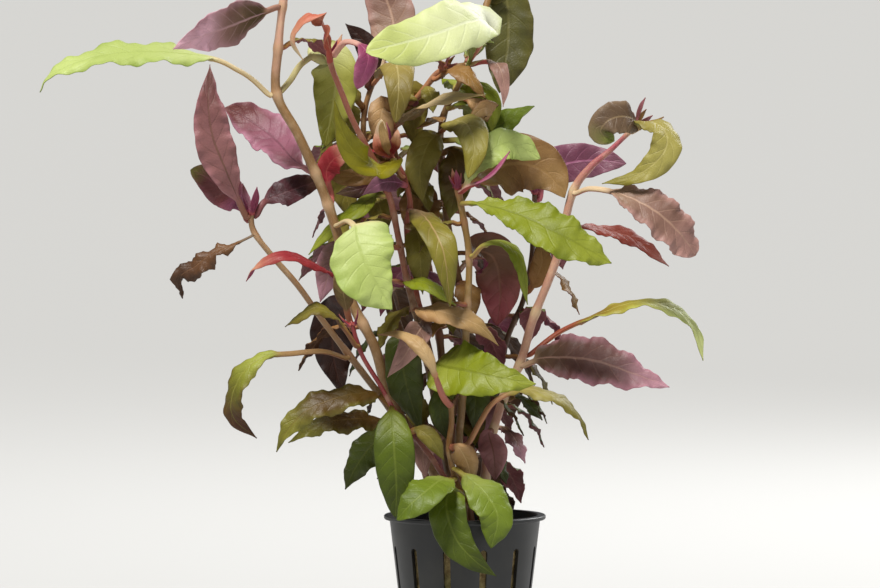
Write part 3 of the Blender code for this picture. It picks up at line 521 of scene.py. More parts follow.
# %% Small leaves as written
SMALL_LEAVES = [
    (Leaf("small_grey_hanging", 1, 139, 10, 0.1, [(-43, -1, 138), (-45.5, 2, 130), (-48.3, 3, 120.7)]),
     Style("mauve", "rose", 0.7)),
    (Leaf("small_maroon_hanging", 1, 120, 15, 0.1, [(-41, 1, 118), (-44, 5, 113), (-44, 7, 102),
          (-41, 8, 89)]),
     Style("maroon", "brown", 1.0, 3.0, 0.08)),
    (Leaf("small_tan_underside", 3, 113, 6.5, 0.3, [(-38.5, -13, 117), (-40, -16, 124), (-40.5, -16, 131),
          (-41, -17, 138)], AWAY),
     Style("green", "pink_green", 0.5)),
    (Leaf("small_brown_red_top", 5, 192, 8, 0.2, [(-31.5, 8, 201), (-34, 8, 208), (-40, 8, 213.5)]),
     Style("maroon", "rose", 0.6)),
    (Leaf("small_yellow_green", 4, 157, 8, 0.1, [(-30, 0, 156), (-36, -4, 152), (-42, -3, 148),
          (-47, -3, 143), (-52, -3, 137)], UP_FRONT),
     Style("yellow_green", "pale_green", 0.5)),
    (Leaf("small_magenta", 1, 154, 9, 0.35, [(-44.5, -4, 157), (-45.5, -5, 161), (-45.8, -5, 165.5),
          (-42, -6, 170), (-35, -7, 172)], FRONT, (0, -0.8, 0.6)),
     Style("crimson", "magenta", 0.5)),
    (Leaf("small_coral_left", 6, 170, 4.2, 0.15, [(-28.5, -2, 172.5), (-28.1, -2, 177.5),
          (-27.8, -2, 182)]),
     Style("coral", "magenta", 0.2, 2.0, 0.02, 0.1, 0.6, 0.6)),
    (Leaf("small_coral_right", 6, 170, 3.8, 0.15, [(-23.5, -2, 172.5), (-22.7, -9, 176), (-22.3, -9, 179)]),
     Style("crimson", "magenta", 0.2, 2.0, 0.02, 0.1, 0.6, 0.6)),
    (Leaf("small_coral_middle", 6, 170.5, 3, 0.15, [(-26, -4, 173), (-27.5, -4, 179), (-27.3, -4, 181.5)]),
     Style("peach", "rose", 0.2, 2.0, 0.02, 0.1, 0.6, 0.6)),
    (Leaf("small_brown_behind", 4, 158, 8, 0.1, [(-29, 3, 160), (-36, 1, 158.5), (-43, 2, 157)]),
     Style("dark_mauve", "magenta", 0.6)),
    (Leaf("small_olive_middle", 6, 146, 9.5, 0.1, [(-16, -2, 145), (-15, -6, 138), (-14.5, -6, 130),
          (-14, -6, 124)]),
     Style("olive", "brown", 0.6)),
    (Leaf("small_olive_hanging", 9, 176, 11, 0.12, [(-10, 5, 176), (-13, 3, 172), (-15, 2, 164),
          (-14, 2, 154)]),
     Style("olive", "brown", 0.6)),
    (Leaf("small_brown_hanging", 7, 172, 11, 0.12, [(-27, 10, 172), (-29, 13, 169), (-30, 12, 163),
          (-30, 12, 153)]),
     Style("bronze", "brown", 0.6)),
    (Leaf("small_olive_behind_top", 5, 186, 11, 0.12, [(-37, 8, 188.5), (-40, 7, 187), (-40, 6, 180),
          (-38, 6, 172)]),
     Style("olive", "brown", 0.6)),
    (Leaf("small_pink_brown_folded", 9, 190, 7, 0.3, [(2, 3, 188), (9, 4, 184), (6.5, 1, 185.6),
          (3, 0, 183), (1.5, 0, 179)]),
     Style("peach", "brown", 0.4, 2.0, curl=0.15)),
    (Leaf("small_red_brown_left", 2, 149.5, 12, 0.1, [(-74, -11, 154.5), (-79, -5, 158), (-84.5, -5, 162),
          (-91, -6, 165.5)]),
     Style("rose_brown", "pale_green", 0.7, 2.5, 0.04, 0.1, 0.55, 0.7)),
    (Leaf("small_dark_green_middle", 8, 93, 7.5, 0.12, [(-5, -10, 92.5), (-8, -12, 89), (-8, -12.5, 83),
          (-6, -12, 76)]),
     Style("dark_olive", "brown", 0.6)),
    (Leaf("small_brown_foot", 4, 79, 9, 0.12, [(-10, -7, 78), (-13, -11, 76), (-14, -13, 70),
          (-13, -13, 63)]),
     Style("dusty_mauve", "magenta", 0.7, 2.5, 0.05)),
    (Leaf("small_olive_low_back", 5, 100, 12, 0.12, [(-19, 3, 101), (-22, 2, 97), (-24, 2, 90),
          (-23, 2, 81)]),
     Style("bronze", "brown", 0.7, 2.5, 0.05)),
    (Leaf("small_brown_low_middle", 9, 98, 11, 0.12, [(3, 5, 98), (3, 2, 95), (3.5, 0, 88), (3, 0, 78)]),
     Style("dark_olive", "brown", 0.7, 2.5, 0.05)),
    (Leaf("small_mauve_low_middle", 11, 92, 9, 0.12, [(9, 5, 92), (8, 8, 89.5), (7.5, 7, 82.5),
          (9, 7, 74.5)]),
     Style("mauve", "magenta", 0.7, 2.5, 0.05)),
    (Leaf("small_lilac", 9, 200, 6, 0.4, [(7, 2, 201), (11, -8, 200), (13, -10, 193), (12.5, -10, 186.5)],
          (0.5, -0.8, 0.2), FRONT),
     Style("dusty_mauve", "magenta", 0.4)),
    (Leaf("small_magenta_bud", 8, 158, 3.4, 0.35, [(1, -9, 160), (5, -11, 162), (10, -12, 166),
          (14.7, -12, 172)], FLAT),
     Style("magenta", "magenta", 0.2, 2.0, 0.02, 0.3)),
    (Leaf("small_tan_upright", 11, 124, 7.5, 0.15, [(24, 10, 128), (26, 9, 134), (25, 9, 142)]),
     Style("bronze", "brown", 0.5, 2.0)),
    (Leaf("small_red_brown_right", 10, 145, 8.5, 0.15, [(40, 6, 145.5), (48, 9, 144), (57, 9, 141),
          (68.3, 7, 132.4)], UP_FRONT),
     Style("red_brown", "brown", 0.6, 3.0)),
    (Leaf("small_mauve_left", 4, 114, 9, 0.12, [(-14, -9, 114), (-16.5, -15, 110.5), (-20, -18, 104.5),
          (-25.7, -18, 97.4)]),
     Style("dusty_mauve", "rose", 0.5)),
    (Leaf("small_yellow_arch", 8, 137, 6, 0.2, [(6, -9, 140.5), (12, -10, 141.5), (18, -11, 136),
          (20.7, -11, 121)], FLAT, (0.6, -0.6, 0.3)),
     Style("yellow_green", "pale_green", 0.4, curl=0.2)),
    (Leaf("small_yellow_middle", 4, 127, 7.5, 0.1, [(-18, -8, 128.5), (-11, -13, 127), (-3, -15, 121)],
          UP_FRONT),
     Style("yellow_green", "pale_green", 0.4, curl=0.15)),
    (Leaf("small_orange_olive", 6, 163, 8, 0.1, [(-24, 0, 166), (-31.5, -3, 164), (-39.5, -4, 163),
          (-48.5, -4, 165)], UP_FRONT, FRONT),
     Style("bronze", "brown", 0.5)),
    (Leaf("small_purple_middle", 6, 160, 7, 0.1, [(-23, -1, 161), (-28, -7, 161), (-34, -5, 157)]),
     Style("purple", "magenta", 0.5)),
    (Leaf("small_dark_olive_left", 5, 158, 9, 0.1, [(-30, 7, 156), (-28, 4, 151), (-27, 4, 142)]),
     Style("olive", "brown", 0.6)),
    (Leaf("small_pink_brown_top", 7, 198.5, 5, 0.15, [(-8, 5, 201), (-13, 2, 202.5), (-20, 0, 201)],
          UP_FRONT),
     Style("bronze", "rose", 0.4, curl=0.15)),
    (Leaf("small_brown_olive_top", 7, 196, 8, 0.15, [(-4, 5, 198), (1, 3, 196), (7, 2, 188.5)], UP_FRONT),
     Style("bronze", "brown", 0.6, curl=0.12)),
    (Leaf("small_cream_green_top", 9, 198, 6.5, 0.15, [(3.5, 4, 205), (6, 1, 208), (9.5, -1, 207.5)],
          UP_FRONT),
     Style("lime", "pale_green", 0.4, 2.0, curl=0.12)),
    (Leaf("small_green_right", 9, 186, 10, 0.12, [(1, 6, 189), (4, 7, 192), (8.5, 6, 186), (9, 6, 177)],
          UP_FRONT),
     Style("yellow_green", "pale_green", 0.5)),
    (Leaf("small_pink_brown_middle", 9, 182, 5.5, 0.12, [(-9, 4, 182), (-12, -1, 181), (-16, -2, 179)],
          UP_FRONT),
     Style("bronze", "rose", 0.4, curl=0.15)),
    (Leaf("small_mauve_middle", 6, 131, 7, 0.12, [(-14, -2, 130.5), (-10, -4, 128), (-5.5, -4, 123)],
          UP_FRONT),
     Style("pink_mauve", "rose", 0.5)),
    (Leaf("small_olive_foot", 3, 79, 6, 0.15, [(-15, -20, 80), (-11, -22, 77), (-7, -21, 70)]),
     Style("olive", "brown", 0.5, curl=0.15)),
    (Leaf("small_dark_green_foot", 10, 89, 7, 0.15, [(17, 4, 89), (21, 6, 86.5), (26, 6, 81)], UP_FRONT),
     Style("dark_olive", "brown", 0.5)),
    (Leaf("small_mauve_foot", 12, 74, 8, 0.15, [(-2, -19, 74), (1, -16, 68), (2, -16, 61)]),
     Style("peach", "rose", 0.8, 2.5, 0.04, 0.3)),
    (Leaf("small_purple_foot", 10, 78, 9.5, 0.12, [(8, -4, 77), (9.5, -8, 71), (10, -9, 62)]),
     Style("dark_rib_mauve", "magenta", 0.6, 2.5, 0.04)),
    (Leaf("small_olive_behind_left", 5, 172, 12, 0.12, [(-36, 8, 173), (-39, 6, 169), (-40, 5, 160),
          (-38, 5, 148)]),
     Style("olive", "brown", 0.7, 2.5, 0.04)),
    (Leaf("small_bronze_inside_low", 7, 158, 13, 0.12, [(-18, 12, 160), (-16, 11, 158), (-15.5, 11, 151),
          (-17, 11, 140)]),
     Style("bronze", "brown", 0.7, 2.5, 0.04)),
    (Leaf("small_olive_inside_right", 9, 170, 12, 0.12, [(-5, 8, 171), (-3, 6, 168), (-3, 6, 160),
          (-5, 6, 148)]),
     Style("brown_olive", "brown", 0.7, 2.5, 0.04)),
    (Leaf("small_red_brown_inside", 7, 178, 9, 0.12, [(-25, 10, 182), (-27.5, 8, 185), (-28, 7, 179),
          (-26.5, 7, 168)]),
     Style("peach", "rose", 0.6, 2.5, 0.04)),
    (Leaf("small_lime_above_tan", 8, 159, 12, 0.1, [(3, -7, 166), (9, -6, 172), (16, -4, 174),
          (25, -3, 169)], UP_FRONT, FRONT),
     Style("lime", "pale_green", 0.8, 3.5, 0.06, 0.08, 0.5, 0.8)),
    (Leaf("small_olive_inside_top", 7, 186, 10, 0.12, [(-19, 8, 189), (-17, 11, 189), (-17, 11, 181),
          (-16, 11, 171)]),
     Style("olive", "rose", 0.6, 2.5, 0.04)),
]
print(len(SMALL_LEAVES), "small leaves placed one by one")

# %% [markdown]
# ## Leaves round the back and in the middle
#
# Towards the back the leaves can't be read from a photograph, so they follow one rule: each leaves its
# stem at a compass angle, rises a little and then droops under its own weight. Scattering them at random
# would push them through each other, so each row is written out: the stem and height, the angle in
# degrees from +X towards the back, the length and width, the rise and droop, and the two looks.

# %% Leaves that follow a rule, as written
Arc = namedtuple("Arc", "stem node_z angle length width rise droop upper lower")
ARCS = [Arc(*row) for row in (
    (5, 169.5, 130, 34, 11, 0.5, 0.7, "green", "rose"),
    (5, 174.5, 62, 20.6, 8.3, 0.6, 0.9, "olive", "brown"), (5, 140, 150, 34, 12, 0.3, 0.7, "green", "rose"),
    (5, 124, 80, 30, 11, 0.3, 0.9, "olive", "brown"), (7, 168, 60, 34, 12, 0.5, 0.7, "green", "rose"),
    (7, 178, 150, 28, 10, 0.5, 0.7, "bronze", "rose"), (7, 132, 120, 36, 13, 0.3, 0.8, "green", "magenta"),
    (7, 112, 60, 34, 12, 0.2, 0.9, "olive", "brown"), (7, 96, 130, 30, 11, 0.2, 0.9, "dark_olive", "brown"),
    (9, 190, 85, 34, 12, 0.5, 0.6, "yellow_green", "pale_green"),
    (9, 160, 40, 32, 11, 0.4, 0.8, "bronze", "rose"), (9, 148, 110, 34, 12, 0.4, 0.8, "green", "rose"),
    (9, 112, 30, 30, 11, 0.2, 0.9, "olive", "brown"),
    (9, 95.5, 100, 32, 11, 0.2, 0.9, "dark_olive", "brown"),
    (11, 140, 70, 34, 12, 0.4, 0.7, "green", "rose"),
    (11, 114.5, 110, 32, 12, 0.2, 0.8, "olive", "magenta"),
    (11, 96, 80, 28, 10, 0.2, 0.8, "bronze", "brown"),
    (10, 117.5, 94, 22.4, 9.2, 0.3, 0.8, "green", "rose"), (1, 206, 44, 26, 10, 0.5, 0.7, "olive", "rose"),
    (1, 114.5, 154, 26, 10, 0.2, 0.8, "bronze", "brown"), (6, 118, 226, 22, 8, 0.3, 0.9, "olive", "rose"),
    (6, 98, 284, 22, 8, 0.3, 0.9, "dark_olive", "brown"), (8, 112, 60, 26, 10, 0.3, 0.9, "bronze", "rose"),
    (8, 92, 6, 22, 9, 0.2, 0.9, "dark_olive", "brown"),
    (8, 121, 224, 17.2, 7.4, 0.3, 0.9, "bronze", "rose"), (4, 140, 230, 22, 8, 0.3, 0.8, "bronze", "rose"),
    (5, 175.5, 192, 17.2, 8.3, 0.4, 0.9, "olive", "brown"),
    (5, 164, 354, 15.5, 7.4, 0.4, 0.9, "bronze", "brown"),
    (5, 147.5, 210, 20, 9, 0.3, 0.9, "olive", "rose"), (7, 192, 284, 12.9, 6.4, 0.3, 0.9, "olive", "brown"),
    (7, 162, 300, 20, 9, 0.3, 0.9, "olive", "brown"), (7, 150, 184, 20, 9, 0.3, 0.9, "bronze", "brown"),
    (7, 139.5, 304, 17.2, 8.3, 0.3, 0.9, "brown_olive", "brown"),
    (7, 122, 290, 20, 9, 0.3, 0.9, "olive", "rose"), (9, 168, 220, 20, 9, 0.3, 0.9, "olive", "brown"),
    (9, 153.5, 244, 15.5, 7.4, 0.3, 0.9, "bronze", "brown"),
    (9, 142.5, 210, 18.9, 8.3, 0.3, 0.9, "brown_olive", "brown"),
    (9, 126, 284, 20, 9, 0.3, 0.9, "bronze", "rose"), (6, 140, 200, 16, 8, 0.3, 0.9, "olive", "brown"),
    (6, 128, 330, 18, 8, 0.3, 0.9, "bronze", "brown"), (4, 150, 180, 16, 7, 0.3, 0.9, "olive", "brown"),
    (4, 128, 160, 18, 8, 0.3, 0.9, "bronze", "rose"), (8, 148, 190, 16, 7, 0.3, 0.9, "olive", "brown"),
    (5, 88, 266, 15.5, 8.3, 0.2, 0.9, "olive", "brown"),
    (7, 81.5, 320, 15.5, 8.3, 0.2, 0.9, "dark_olive", "brown"),
    (9, 84, 276, 15.5, 8.3, 0.2, 0.9, "brown_olive", "rose"),
    (11, 78, 316, 16, 8, 0.2, 0.9, "mauve", "magenta"), (1, 78.5, 250, 14, 7, 0.2, 0.9, "olive", "brown"),
    (7, 76, 95, 30, 12, 0.3, 0.9, "green", "rose"), (9, 68, 70, 28, 11, 0.3, 0.9, "olive", "brown"),
    (5, 80, 125, 30, 12, 0.3, 0.9, "olive", "rose"),
    (7, 62, 105, 26, 10, 0.2, 0.8, "deep_green", "pale_green"),
    (9, 60, 50, 24, 10, 0.2, 0.8, "deep_green", "brown"), (11, 66, 60, 24, 10, 0.2, 0.8, "green", "rose"),
    (9, 82, 90, 30, 11, 0.3, 0.9, "bronze", "rose"), (5, 104, 100, 30, 11, 0.3, 0.9, "green", "rose"),
    (9, 186, 34, 18, 10, 0.3, 1.1, "green", "pale_green"),
    (9, 170, 345, 20, 11, 0.3, 1.1, "olive", "brown"), (9, 150, 5, 20, 12, 0.2, 1.1, "bronze", "rose"),
    (9, 136, 20, 20, 11, 0.2, 1.1, "olive", "brown"),
    (9, 101.5, 326, 17.2, 10.1, 0.2, 1.1, "brown_olive", "brown"),
    (9, 90, 31, 18, 10, 0.2, 1.1, "green", "rose"),
    (9, 72, 323, 15.5, 9.2, 0.2, 1.0, "dark_olive", "brown"),
    (11, 150, 10, 18, 11, 0.3, 1.1, "pink_mauve", "magenta"),
    (11, 132, 350, 18, 11, 0.2, 1.1, "bronze", "rose"),
    (11, 118, 15, 18, 11, 0.2, 1.1, "dark_rib_mauve", "magenta"),
    (11, 102, 355, 18, 11, 0.2, 1.1, "brown_olive", "brown"),
    (11, 86, 10, 18, 10, 0.2, 1.0, "dark_olive", "rose"), (5, 184, 190, 16, 10, 0.3, 1.1, "olive", "brown"),
    (5, 160, 175, 20, 12, 0.2, 1.1, "dark_rib_mauve", "rose"),
    (5, 142, 185, 20, 12, 0.2, 1.1, "dark_olive", "brown"),
    (5, 128, 170, 20, 11, 0.2, 1.1, "bronze", "brown"),
    (5, 112, 185, 18, 11, 0.2, 1.1, "dark_olive", "rose"),
    (5, 96, 175, 18, 10, 0.2, 1.0, "brown_olive", "brown"),
    (5, 76, 185, 18, 10, 0.2, 1.0, "dark_olive", "brown"), (7, 176, 10, 20, 11, 0.3, 1.1, "olive", "rose"),
    (7, 160, 167, 18, 11, 0.2, 1.1, "brown_olive", "brown"),
    (7, 108.5, 34, 15.5, 10.1, 0.2, 1.1, "olive", "rose"),
    (4, 106.5, 191, 15.5, 9.2, 0.2, 1.0, "dark_olive", "brown"),
    (8, 104, 350, 18, 10, 0.2, 1.0, "bronze", "brown"), (10, 92, 5, 14, 8, 0.2, 1.0, "dark_olive", "brown"),
)]
print(len(ARCS), "leaves that follow the rule")

# %% [markdown]
# ## Building materials from nodes
#
# A Blender material is a tree of small nodes that pass colours and numbers on to one shader. Such trees
# are often drawn by hand in the shader editor. This plant needs more than forty of them that differ in a
# few values only, so they are written here with short calls, and one change reaches all of them.

# %% Short calls for a node tree
class Nodes:
    """Short calls for building one material's node tree."""

    def __init__(self, name):
        self.material = bpy.data.materials.new(name)
        self.material.use_nodes = True
        self.tree = self.material.node_tree
        self.shader = self.tree.nodes["Principled BSDF"]
        self.output = self.tree.nodes["Material Output"]

    def add(self, kind, **settings):
        node = self.tree.nodes.new(kind)
        for key, value in settings.items():
            setattr(node, key, value)
        return node

    def link(self, source, target):
        self.tree.links.new(source, target)

    def feed(self, socket, value):
        """Links a socket or sets a plain value."""
        if isinstance(value, bpy.types.NodeSocket):
            self.link(value, socket)
        else:
            socket.default_value = value

    def math(self, operation, first, second=0.0, third=0.0):
        node = self.add("ShaderNodeMath", operation=operation)
        for socket, value in zip(node.inputs, (first, second, third)):
            self.feed(socket, value)
        return node.outputs[0]

    def step(self, value, low, high, out_low=0.0, out_high=1.0):
        """A soft step of value from low to high."""
        node = self.add("ShaderNodeMapRange", interpolation_type="SMOOTHSTEP")
        for key, number in (("Value", value), ("From Min", low), ("From Max", high),
                            ("To Min", out_low), ("To Max", out_high)):
            self.feed(node.inputs[key], number)
        return node.outputs["Result"]

    def mix(self, share, first, second, blend="MIX"):
        node = self.add("ShaderNodeMix", data_type="RGBA", blend_type=blend)
        self.feed(node.inputs["Factor"], share)
        self.feed(node.inputs["A"], first)
        self.feed(node.inputs["B"], second)
        return node.outputs["Result"]

    def noise(self, vector, scale, detail=3.0, roughness=0.5):
        node = self.add("ShaderNodeTexNoise")
        self.link(vector, node.inputs["Vector"])
        node.inputs["Scale"].default_value = scale
        node.inputs["Detail"].default_value = detail
        node.inputs["Roughness"].default_value = roughness
        return node.outputs["Fac"]

    def place(self):
        return self.add("ShaderNodeTexCoord").outputs["Object"]

    def uv(self, name):
        node = self.add("ShaderNodeUVMap", uv_map=name)
        parts = self.add("ShaderNodeSeparateXYZ")
        self.link(node.outputs["UV"], parts.inputs["Vector"])
        return parts.outputs["X"], parts.outputs["Y"]

    def bump(self, height, strength, distance):
        node = self.add("ShaderNodeBump")
        node.inputs["Strength"].default_value = strength
        node.inputs["Distance"].default_value = distance
        self.link(height, node.inputs["Height"])
        self.link(node.outputs["Normal"], self.shader.inputs["Normal"])
        return node.outputs["Normal"]


print("short calls:", ", ".join(call for call in vars(Nodes) if not call.startswith("_")))

# %% [markdown]
# ## The blade's own map
#
# A real leaf's pattern belongs to the leaf: however it bends, the midrib stays in its middle. So every
# blade carries a map of its own, with U across it and V from the stalk, below zero, to the tip at one.
# Projecting colours from the front would be quicker to set up, but they would slide over folds.
# Two soft noises, a coarse and a finer one, keep the colour borders from looking ruled.

# %% Where a point lies on the blade
BLADE_MAP = "blade"
CLOUD_SCALE = 90.0
PATCH_SCALE = 34.0
Blade = namedtuple("Blade", "u v across place cloud patch")


def blade_place(n):
    """A point's place on the blade, and the clouds and patches there."""
    u, v = n.uv(BLADE_MAP)
    place = n.place()
    across = n.math("ABSOLUTE", n.math("MULTIPLY_ADD", u, 2.0, -1.0))
    cloud = n.noise(place, CLOUD_SCALE, 4.0, 0.6)
    return Blade(u, v, across, place, cloud, n.noise(place, PATCH_SCALE, 2.0))


print(f"clouds about {1 / CLOUD_SCALE / MM:.0f} mm across, patches {1 / PATCH_SCALE / MM:.0f} mm")

# %% [markdown]
# ## Colours over the blade
#
# The real blade changes colour from its foot to its tip, turns pinker along its edge, and is darker in
# cloudy spots. Painting vertices would do that coarsely. Soft steps along the map give the same change
# on a long leaf as on a short one.

# %% Colours from foot to tip
FOOT_REACH = 0.45
TIP_REACH = 0.4
BORDER_WANDER = 0.5
EDGE_STARTS = 0.55
CLOUD_SHADE = 0.35
PATCH_SHADE = 0.25


def blade_colour(n, blade, look):
    """The blade's colour without its veins."""
    wander = n.math("MULTIPLY_ADD", blade.patch, BORDER_WANDER, -BORDER_WANDER / 2)
    along = n.math("ADD", blade.v, wander)
    colour = n.mix(n.step(along, 0.0, FOOT_REACH), paint(*look.foot), paint(*look.middle))
    colour = n.mix(n.step(along, look.turn, look.turn + TIP_REACH), colour, paint(*look.tip))
    cloudy_edge = n.step(blade.cloud, 0.3, 0.75, 0.15, 0.9)
    edge = n.math("MULTIPLY", n.step(blade.across, EDGE_STARTS, 1.02), cloudy_edge)
    colour = n.mix(edge, colour, paint(*look.edge))
    shade = n.step(blade.cloud, 0.45, 0.75, 0.0, CLOUD_SHADE)
    colour = n.mix(shade, colour, paint(*look.middle), "MULTIPLY")
    return n.mix(n.step(blade.patch, 0.5, 0.8, 0.0, PATCH_SHADE), colour, paint(*look.edge))


print(f"the foot's colour fades out at {FOOT_REACH:.0%} of the blade")

# %% [markdown]
# ## Midrib and side veins
#
# A midrib runs up the blade, and side veins leave it in turn left and right and bend forward. They could
# be modelled as ridges, but at this size that would need far more faces. A sawtooth along the map, swept
# forward towards the edge, draws all of them as thin lines that also lift or sink the surface.

# %% Veins
SIDE_VEINS = 8.0
VEIN_SWEEP = 0.17
VEIN_BEND = 1.25
VEIN_STAGGER = 0.4


def side_vein_lines(n, blade):
    """One where a side vein runs, zero between the veins."""
    sweep = n.math("MULTIPLY", n.math("POWER", blade.across, VEIN_BEND), VEIN_SWEEP)
    stagger = n.math("MULTIPLY", n.math("GREATER_THAN", blade.u, 0.5), VEIN_STAGGER)
    phase = n.math("MULTIPLY_ADD", n.math("SUBTRACT", blade.v, sweep), SIDE_VEINS, stagger)
    tooth = n.math("ABSOLUTE", n.math("MULTIPLY_ADD", n.math("FRACT", phase), 2.0, -1.0))
    lines = n.math("MULTIPLY", n.step(tooth, 0.8, 1.0), n.step(blade.across, 0.95, 0.55))
    return n.math("MULTIPLY", lines, n.step(blade.v, 0.02, 0.1))


print(f"{SIDE_VEINS:.0f} side veins on each half of a blade")

# %% [markdown]
# ## The two sides of a leaf
#
# The upper side is smoother, with its veins sunk in. The under side is duller, with paler veins that
# stand out. Light also passes through a real leaf and comes out yellower. Making the leaf hazy all
# through would be slow to render, so a share of plain light from behind is mixed in instead.

# %% What differs between the sides
Side = namedtuple("Side", "name vein_shade relief roughness")
UPPER_SIDE = Side("upper", 0.16, -0.6, 0.34)
UNDER_SIDE = Side("under", 0.26, 0.7, 0.46)
GRAIN_SCALE = 1400.0
CELL_SCALE = 1100.0
SHINE = 0.38
THROUGH_TINT = (1.0, 1.0, 0.55, 1.0)
# How strong the relief is, and its height in metres.
LEAF_RELIEF = (0.5, 0.0003)


def blade_relief(n, blade, side, lines):
    """Fine cells, grain, and veins that stand out or lie sunk."""
    grain = n.noise(blade.place, GRAIN_SCALE, 2.0)
    cells = n.add("ShaderNodeTexVoronoi", feature="DISTANCE_TO_EDGE")
    n.link(blade.place, cells.inputs["Vector"])
    cells.inputs["Scale"].default_value = CELL_SCALE
    height = n.math("MULTIPLY", n.step(cells.outputs["Distance"], 0.0, 0.2), 0.2)
    height = n.math("MULTIPLY_ADD", grain, 0.25, height)
    height = n.math("ADD", height, n.math("MULTIPLY", lines, side.relief))
    return n.bump(height, *LEAF_RELIEF)


def let_light_through(n, colour, normal, share):
    through = n.add("ShaderNodeBsdfTranslucent")
    n.link(n.mix(1.0, colour, THROUGH_TINT, "MULTIPLY"), through.inputs["Color"])
    n.link(normal, through.inputs["Normal"])
    both = n.add("ShaderNodeMixShader")
    both.inputs["Fac"].default_value = share
    n.link(n.shader.outputs["BSDF"], both.inputs[1])
    n.link(through.outputs["BSDF"], both.inputs[2])
    n.link(both.outputs["Shader"], n.output.inputs["Surface"])


print(f"cells about {1 / CELL_SCALE / MM:.1f} mm across")


# %% Leaf skins
def leaf_skin(look_name, look, side):
    """The material of one side of a leaf."""
    n = Nodes(f"{side.name}_{look_name}")
    blade = blade_place(n)
    colour = blade_colour(n, blade, look)
    vein = side_vein_lines(n, blade)
    midrib = n.step(blade.across, 0.02, 0.085, 1.0, 0.0)
    fading = n.step(blade.v, 0.0, 1.0, 0.75, 0.3)
    colour = n.mix(n.math("MULTIPLY", vein, side.vein_shade), colour, paint(*look.vein))
    colour = n.mix(n.math("MULTIPLY", midrib, fading), colour, paint(*look.vein))
    colour = n.mix(n.step(blade.v, -0.03, 0.07, 1.0, 0.0), colour, paint(*look.stalk))
    n.link(colour, n.shader.inputs["Base Color"])
    normal = blade_relief(n, blade, side, n.math("MAXIMUM", vein, midrib))
    rough = n.math("MULTIPLY_ADD", blade.cloud, 0.25, side.roughness)
    n.link(rough, n.shader.inputs["Roughness"])
    n.shader.inputs["Specular IOR Level"].default_value = SHINE
    let_light_through(n, colour, normal, look.glow)
    return n.material


UPPER_SKINS = {name: leaf_skin(name, look, UPPER_SIDE) for name, look in UPPER.items()}
LOWER_SKINS = {name: leaf_skin(name, look, UNDER_SIDE) for name, look in LOWER.items()}
print(len(UPPER_SKINS) + len(LOWER_SKINS), "leaf skins")

# %% [markdown]
# ## A leaf's midrib and outline
#
# A real leaf starts at a joint of its stem and is widest before the middle or after it, with a tip that
# is blunt or drawn out. One picture of a leaf could be cut out and bent, but its outline would never
# change. Here two powers of the length give the half width everywhere, so three numbers make any of the
# outlines. The stalk starts four fifths of its stem's radius out from the stem's centre line.

# %% Midrib, outline and rows
ROW_STEP = 0.7
LEAST_ROWS = 24
MOST_ROWS = 80
STALK_START = 0.8
STALK_REACH = 1.2
Row = namedtuple("Row", "centre side up blade")


def outline(along, widest, tip):
    """The blade's half width at a share of its length, as a share of its greatest half width."""
    if along <= 0.0 or along >= 1.0:
        return 0.0
    foot_power = tip * widest / (1 - widest)
    peak = widest ** foot_power * (1 - widest) ** tip
    return along ** foot_power * (1 - along) ** tip / peak


def stalk_start(number, height, way):
    """Where a stalk starts beside its stem, and how it leaves square to it."""
    centre, up_stem = stem_node(number, height)
    away = (way - up_stem * way.dot(up_stem)).normalized()
    return centre + away * STEMS[number].radius * STALK_START, away


def leaf_route(leaf):
    """The midrib, from just off the stem's side to the tip."""
    centre, up_stem = stem_node(leaf.stem, leaf.node_z)
    start, away = stalk_start(leaf.stem, leaf.node_z, opened(leaf.route[0]) - centre)
    return [start, start + away * STALK_REACH] + [opened(point) for point in leaf.route]


def leaf_rows(route, leaf):
    """Rows along a leaf, each with its centre, side and up arrows, and its place on the blade."""
    count = max(LEAST_ROWS, min(MOST_ROWS, round(length_of(route) / ROW_STEP)))
    line = smooth_route(route, count)
    rows = []
    for index, centre in enumerate(line):
        share = index / (count - 1)
        before = line[max(0, index - 1)]
        after = line[min(count - 1, index + 1)]
        along = (after - before).normalized()
        face = Vector(leaf.face).lerp(Vector(leaf.tip_face or leaf.face), share)
        up = (face - along * face.dot(along)).normalized()
        rows.append(Row(centre, along.cross(up), up, (share - leaf.petiole) / (1 - leaf.petiole)))
    return rows


long_leaf = LARGE_LEAVES[0][0]
print(f"{long_leaf.name} is {length_of(leaf_route(long_leaf)):.0f} mm long with its stalk")

# %% [markdown]
# ## Folds, waves and puckers
#
# The real blade is folded a little along its midrib, its edge waves and crinkles, and it swells between
# the side veins. A displacement texture could add waves, but it would shift the edge and the midrib
# alike. Here each lift is a small formula of the place on the blade, so the waves grow towards the edge
# and fade where the blade is narrow.

# %% Lifts of the blade
FOLD = 0.16
CURL_DEPTH = 1.6
CRINKLE = 0.36
CRINKLES_PER_WAVE = 3.1
WAVE_AT_EDGE = 2.2
FULL_WAVE_WIDTH = 3
HALF_SHIFT = 1.7
PUCKER = 0.34
FULL_PUCKER_WIDTH = 4


def edge_lift(style, half, amount, blade, right, shift):
    """The fold, the curl and the waves, in millimetres, at a share of the half width."""
    fold = FOLD * half * amount
    curl = -style.curl * half * amount ** 3 * CURL_DEPTH
    phase = 2 * math.pi * style.waves * blade + shift + (HALF_SHIFT if right else 0.0)
    swing = math.sin(phase) + CRINKLE * math.sin(CRINKLES_PER_WAVE * phase)
    fading = min(1.0, half / FULL_WAVE_WIDTH)
    wave = style.wave * swing * amount ** WAVE_AT_EDGE * fading if half > 0 else 0.0
    return fold + curl + wave


